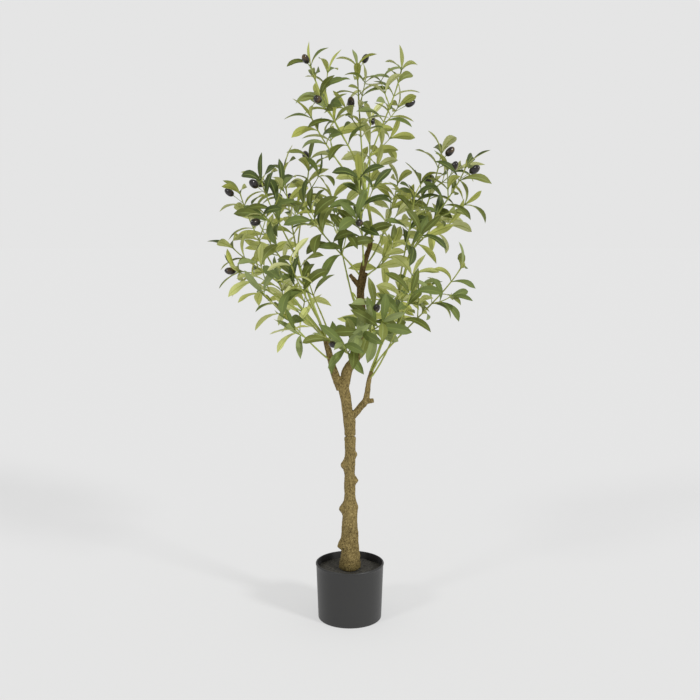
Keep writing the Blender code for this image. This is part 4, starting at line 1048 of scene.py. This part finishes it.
def leaf_surfaces(leaves):
    """All leaves at once, as closed sections and a point at each end. The midrib's direction
    turns by curl g(s), with g = s^0.85, and its places are the running sum of directions. A
    section has half width W/2 s^1.35 (1-s)^0.85 / peak, runs forward to its edges as side
    veins do, and is a shallow V with a rib under it."""
    root, way, top = (np.array([leaf[k] for leaf in leaves])[:, None, :] for k in (1, 2, 3))
    length, width, curl, roll = (np.array([leaf[k] for leaf in leaves])[:, None] for k in (4, 5, 6, 7))
    s = LEAF_STATIONS[None, :]
    turn = (curl * s**0.85)[..., None]
    heading = np.cos(turn) * way - np.sin(turn) * top
    above = np.sin(turn) * way + np.cos(turn) * top
    steps = (heading[:, 1:] + heading[:, :-1]) / 2 * np.diff(s, axis=1)[..., None] * length[..., None]
    midrib = root + np.concatenate((np.zeros_like(steps[:, :1]), np.cumsum(steps, axis=1)), axis=1)
    flat = np.cross(heading, above)
    roll = (roll * s**0.6)[..., None]
    side = np.cos(roll) * flat + np.sin(roll) * above
    above = np.cos(roll) * above - np.sin(roll) * flat
    peak_place = LEAF_BASE / (LEAF_BASE + LEAF_POINT)
    shape = (s / peak_place) ** LEAF_BASE * ((1 - s) / (1 - peak_place)) ** LEAF_POINT
    half = np.maximum(width / 2 * shape, LEAF_STALK_RADIUS)
    blade = np.clip((half - LEAF_STALK_RADIUS) / (width / 8), 0.0, 1.0)[..., None]
    a = np.concatenate((LEAF_TOP, LEAF_UNDER))[None, None, :]
    upper = np.arange(a.size) < LEAF_TOP.size
    wave = 0.10 * np.sin(2 * np.pi * (1.3 * s + 7.3 * curl))[..., None] * a
    fold = half[..., None] * (0.24 * np.abs(a) ** 0.8 + wave)
    stalk = LEAF_STALK_RADIUS * np.sqrt(1 - a**2) * np.where(upper, 1.0, -1.0)
    rib = np.abs(a) < 0.2
    under = np.where(upper, LEAF_GROOVE * rib, LEAF_THICK + LEAF_RIB * rib * (1 - s[..., None]))
    lift = (1 - blade) * stalk + blade * (fold - under)
    slant = LEAF_SLANT * half[..., None] * np.abs(a) * blade
    sections = (
        midrib[:, :, None]
        + (half[..., None] * a)[..., None] * side[:, :, None]
        + lift[..., None] * above[:, :, None]
        + slant[..., None] * heading[:, :, None]
    )
    tips = midrib[:, -1] + LEAF_SLANT * half[:, -2, None] * heading[:, -1]
    return sections[:, :-1], midrib[:, 0] - LEAF_STALK_RADIUS * way[:, 0], tips


def leaf_slots(leaves, sides, segments):
    """The finish of each face of every leaf: its stalk, its ribs, and its two half blades, one with painted shade, a
    little darker than the other."""
    top = 2 * np.array([leaf[8] for leaf in leaves])[:, None, None]
    under = 2 * (len(LEAF_TOPS) + np.array([leaf[9] for leaf in leaves]))[:, None, None]
    segment = np.arange(segments)[None, :, None]
    band = np.arange(sides)[None, None, :]
    bands = LEAF_TOP.size - 1
    # The darker half of each blade, top and underside, is painted shade
    darker = (band < bands // 2) | (band == sides - 1)
    ribs = 2 * (len(LEAF_TOPS) + len(LEAF_UNDERS))
    slots = np.where(band < bands, top, under) + darker
    slots = np.where(band == bands // 2, ribs + (top > 4), slots)
    slots = np.where(band == bands + (sides - bands) // 2, ribs + len(RIB_TOPS) + (under > 2 * len(LEAF_TOPS) + 2), slots)
    return np.where(segment < STALK_SEGMENTS, ribs + len(RIB_TOPS) + len(RIB_UNDERS), slots)


REGIONS = {
    "crown": ("crown_", "inner_"),
    "left": ("left_",),
    "right": ("right_", "back_right"),
    "middle": ("front_", "centre_", "low_back"),
}


def make_leaves(crown):
    """One piece of leaves for each region of the crown."""
    finishes = leaf_finishes()
    sides = LEAF_TOP.size + LEAF_UNDER.size
    bands = LEAF_TOP.size - 1
    rings = LEAF_STATIONS.size - 1
    size = rings * sides + 2
    for region, starts in REGIONS.items():
        leaves = [leaf for leaf in crown.leaves if leaf[0].startswith(starts)]
        count = len(leaves)
        sections, roots, tips = leaf_surfaces(leaves)
        verts = np.concatenate((sections.reshape(count, -1, 3), roots[:, None], tips[:, None]), axis=1)
        quads = ring_quads(rings, sides, count, size).reshape(-1, sides, 4)
        # The underside's quads start one corner on, so that both sides bend along one diagonal
        quads[:, bands:] = np.roll(quads[:, bands:], -1, axis=-1)
        quads = quads.reshape(-1, 4)
        low = fans(0, sides, size - 2, count, size, inward=True)
        high = fans((rings - 1) * sides, sides, size - 1, count, size)
        slots = leaf_slots(leaves, sides, rings)
        which = np.concatenate([slots[:, part].reshape(-1) for part in (slice(0, -1), slice(0, 1), slice(-1, None))])
        obj = piece("leaves_" + region, verts, (quads, low, high), finishes, which)
        obj.data.set_sharp_from_angle(angle=math.radians(LEAF_EDGE))
        across = np.concatenate((np.tile(np.concatenate((LEAF_TOP, LEAF_UNDER)), rings), (0.0, 0.0)))
        along = np.concatenate((np.repeat(LEAF_STATIONS[:-1], sides), (0.0, 1.0)))
        blade = np.stack((np.tile(across, count), np.tile(along, count), np.repeat(np.arange(count), size)), 1)
        obj.data.attributes.new("blade", "FLOAT_VECTOR", "POINT").data.foreach_set("vector", blade.astype(np.float32).ravel())
        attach(obj, "root")
        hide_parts(*[name for name in SPRAYS if name.startswith(starts)])


def make_twigs(crown, stems):
    """Stems of the sprays and their side twigs, a little swollen at each pair of leaves, and
    the thick green stems that carry them."""
    paths = np.array([line for line, _ in crown.twigs])
    ends = np.array([radii for _, radii in crown.twigs])
    share = np.linspace(0, 1, paths.shape[1])[None, :]
    radii = ends[:, :1] * (1 - share) + ends[:, 1:] * share
    lengths = np.linalg.norm(np.diff(paths, axis=1), axis=2).sum(axis=1)
    from_tip = (1 - share) * lengths[:, None]
    radii = radii * (1 + 0.35 * np.exp(-(((from_tip + 0.004) % PAIR_SPACING - 0.004) / 0.003) ** 2))
    green = plastic_finish("stem_plastic", (0.29, 0.31, 0.055), (0.40, 0.46, 0.10))
    verts, quads, caps = rods(paths, radii, 7)
    twigs = piece("twigs", verts, (quads, caps), [green])
    verts, quads, caps = rods(np.array([p for p, _ in stems]), np.array([r for _, r in stems]), 18)
    thick = piece("green_stems", verts, (quads, caps), [green])
    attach(twigs, "root")
    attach(thick, "root")
    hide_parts(*STEMS)
    stalks = np.array([[foot, foot + (stalk + 0.15 * length) * way] for _, foot, way, stalk, length in crown.olives])
    line = np.linspace(0, 1, 5)[None, :, None]
    paths = stalks[:, :1] * (1 - line) + stalks[:, 1:] * line
    radii = np.tile(np.array((0.0009, 0.0006, 0.0006, 0.0008, 0.0013)), (len(paths), 1))
    verts, quads, caps = rods(paths, radii, 7)
    pale = plastic_finish("stalk_plastic", (0.36, 0.40, 0.15), (0.44, 0.50, 0.23))
    obj = piece("olive_stalks", verts, (quads, caps), [pale])
    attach(obj, "root")


def make_olives(crown):
    """Olives: rings at heights h of radius W/2 (1 - |h|^2.3)^0.55, a little fuller low down."""
    rings, sides = 11, 16
    foot, way = (np.array([olive[k] for olive in crown.olives])[:, None, :] for k in (1, 2))
    stalk, length = (np.array([olive[k] for olive in crown.olives])[:, None] for k in (3, 4))
    h = np.cos(np.pi * (1 - (np.arange(rings) + 0.6) / (rings + 0.2)))[None, :]
    radius = length * OLIVE_SLENDER / 2 * (1 - np.abs(h) ** 2.3) ** 0.55 * (1 - 0.05 * h)
    middle = foot + ((stalk + length / 2 + h * length / 2)[..., None]) * way
    across = unit(np.cross(way, np.array((0.21, 0.35, 0.91))))
    back = np.cross(way, across)
    angles = 2 * np.pi * np.arange(sides) / sides
    spokes = np.cos(angles)[:, None] * across[:, :, None] + np.sin(angles)[:, None] * back[:, :, None]
    verts = (middle[:, :, None] + radius[..., None, None] * spokes).reshape(len(crown.olives), -1, 3)
    poles = np.stack(((foot + stalk[..., None] * way)[:, 0], (foot + (stalk + length * 1.01)[..., None] * way)[:, 0]), 1)
    verts = np.concatenate((verts, poles), axis=1)
    size = rings * sides + 2
    count = len(crown.olives)
    quads = ring_quads(rings, sides, count, size)
    caps = np.concatenate(
        (fans(0, sides, size - 2, count, size, inward=True), fans((rings - 1) * sides, sides, size - 1, count, size))
    )
    obj = piece("olives", verts.reshape(-1, 3), (quads, caps), [olive_finish()])
    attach(obj, "root")


# Studio: sizes in metres, angles in degrees
CAMERA_PLACE = (0.0004, -2.0100, 0.8441)
CAMERA_PITCH = 7.484  # down from level
CAMERA_LENS = 50.0
CAMERA_SENSOR = 36.0
FLOOR_HALF = 30.0
FLOOR_TONE = 0.36
FLOOR_GLOW = 0.478  # light that the paper floor gives back evenly
BACKDROP = 0.783  # linear tone of the pale backdrop
AMBIENT = 0.50


def add_sun(name, strength, angle, elevation, azimuth):
    """A soft sun. Azimuth 0 shines from +X, 270 from the front."""
    light = bpy.data.lights.new(name, "SUN")
    light.energy = strength
    light.angle = math.radians(angle)
    obj = bpy.data.objects.new(name, light)
    obj.rotation_euler = (0.0, math.radians(90 - elevation), math.radians(azimuth))
    bpy.context.scene.collection.objects.link(obj)


def make_studio():
    """A level pale floor, an even sky, two soft lights and the photograph's camera."""
    scene = bpy.context.scene
    scene.view_settings.view_transform = "Standard"
    corners = np.array(((-1, -1, 0), (1, -1, 0), (1, 1, 0), (-1, 1, 0))) * FLOOR_HALF
    tone, tree, _ = principled(
        "floor_paper",
        (FLOOR_TONE,) * 3,
        1.0,
        Specular_IOR_Level=0.0,
        Emission_Color=(1.0, 1.0, 1.0, 1.0),
        Emission_Strength=FLOOR_GLOW,
    )
    floor = piece("floor", corners - np.array((0, 0, 0.0002)), (np.array(((0, 1, 2, 3),)),), [tone], smooth=False)
    world = bpy.data.worlds.new("studio")
    world.use_nodes = True
    nodes, links = world.node_tree.nodes, world.node_tree.links
    seen = nodes["Background"]
    seen.inputs["Color"].default_value = (BACKDROP,) * 3 + (1.0,)
    lighting = nodes.new("ShaderNodeBackground")
    lighting.inputs["Color"].default_value = (AMBIENT,) * 3 + (1.0,)
    path = nodes.new("ShaderNodeLightPath")
    mix = nodes.new("ShaderNodeMixShader")
    links.new(path.outputs["Is Camera Ray"], mix.inputs["Fac"])
    links.new(lighting.outputs["Background"], mix.inputs[1])
    links.new(seen.outputs["Background"], mix.inputs[2])
    links.new(mix.outputs["Shader"], nodes["World Output"].inputs["Surface"])
    scene.world = world
    add_sun("key_light", 1.5, 10, 30, 319)
    add_sun("side_light", 0.65, 10, 35, 224)
    camera = bpy.data.cameras.new("camera")
    camera.lens = CAMERA_LENS
    camera.sensor_width = CAMERA_SENSOR
    obj = bpy.data.objects.new("camera", camera)
    obj.location = CAMERA_PLACE
    obj.rotation_euler = (math.radians(90 - CAMERA_PITCH), 0.0, 0.0)
    scene.collection.objects.link(obj)
    scene.camera = obj


def main():
    make_studio()
    make_pot()
    make_fill()
    make_trunk()
    crown, stems = grow_crown()
    make_leaves(crown)
    make_twigs(crown, stems)
    make_olives(crown)
    print("leaves", len(crown.leaves), "olives", len(crown.olives), "twigs", len(crown.twigs))


main()
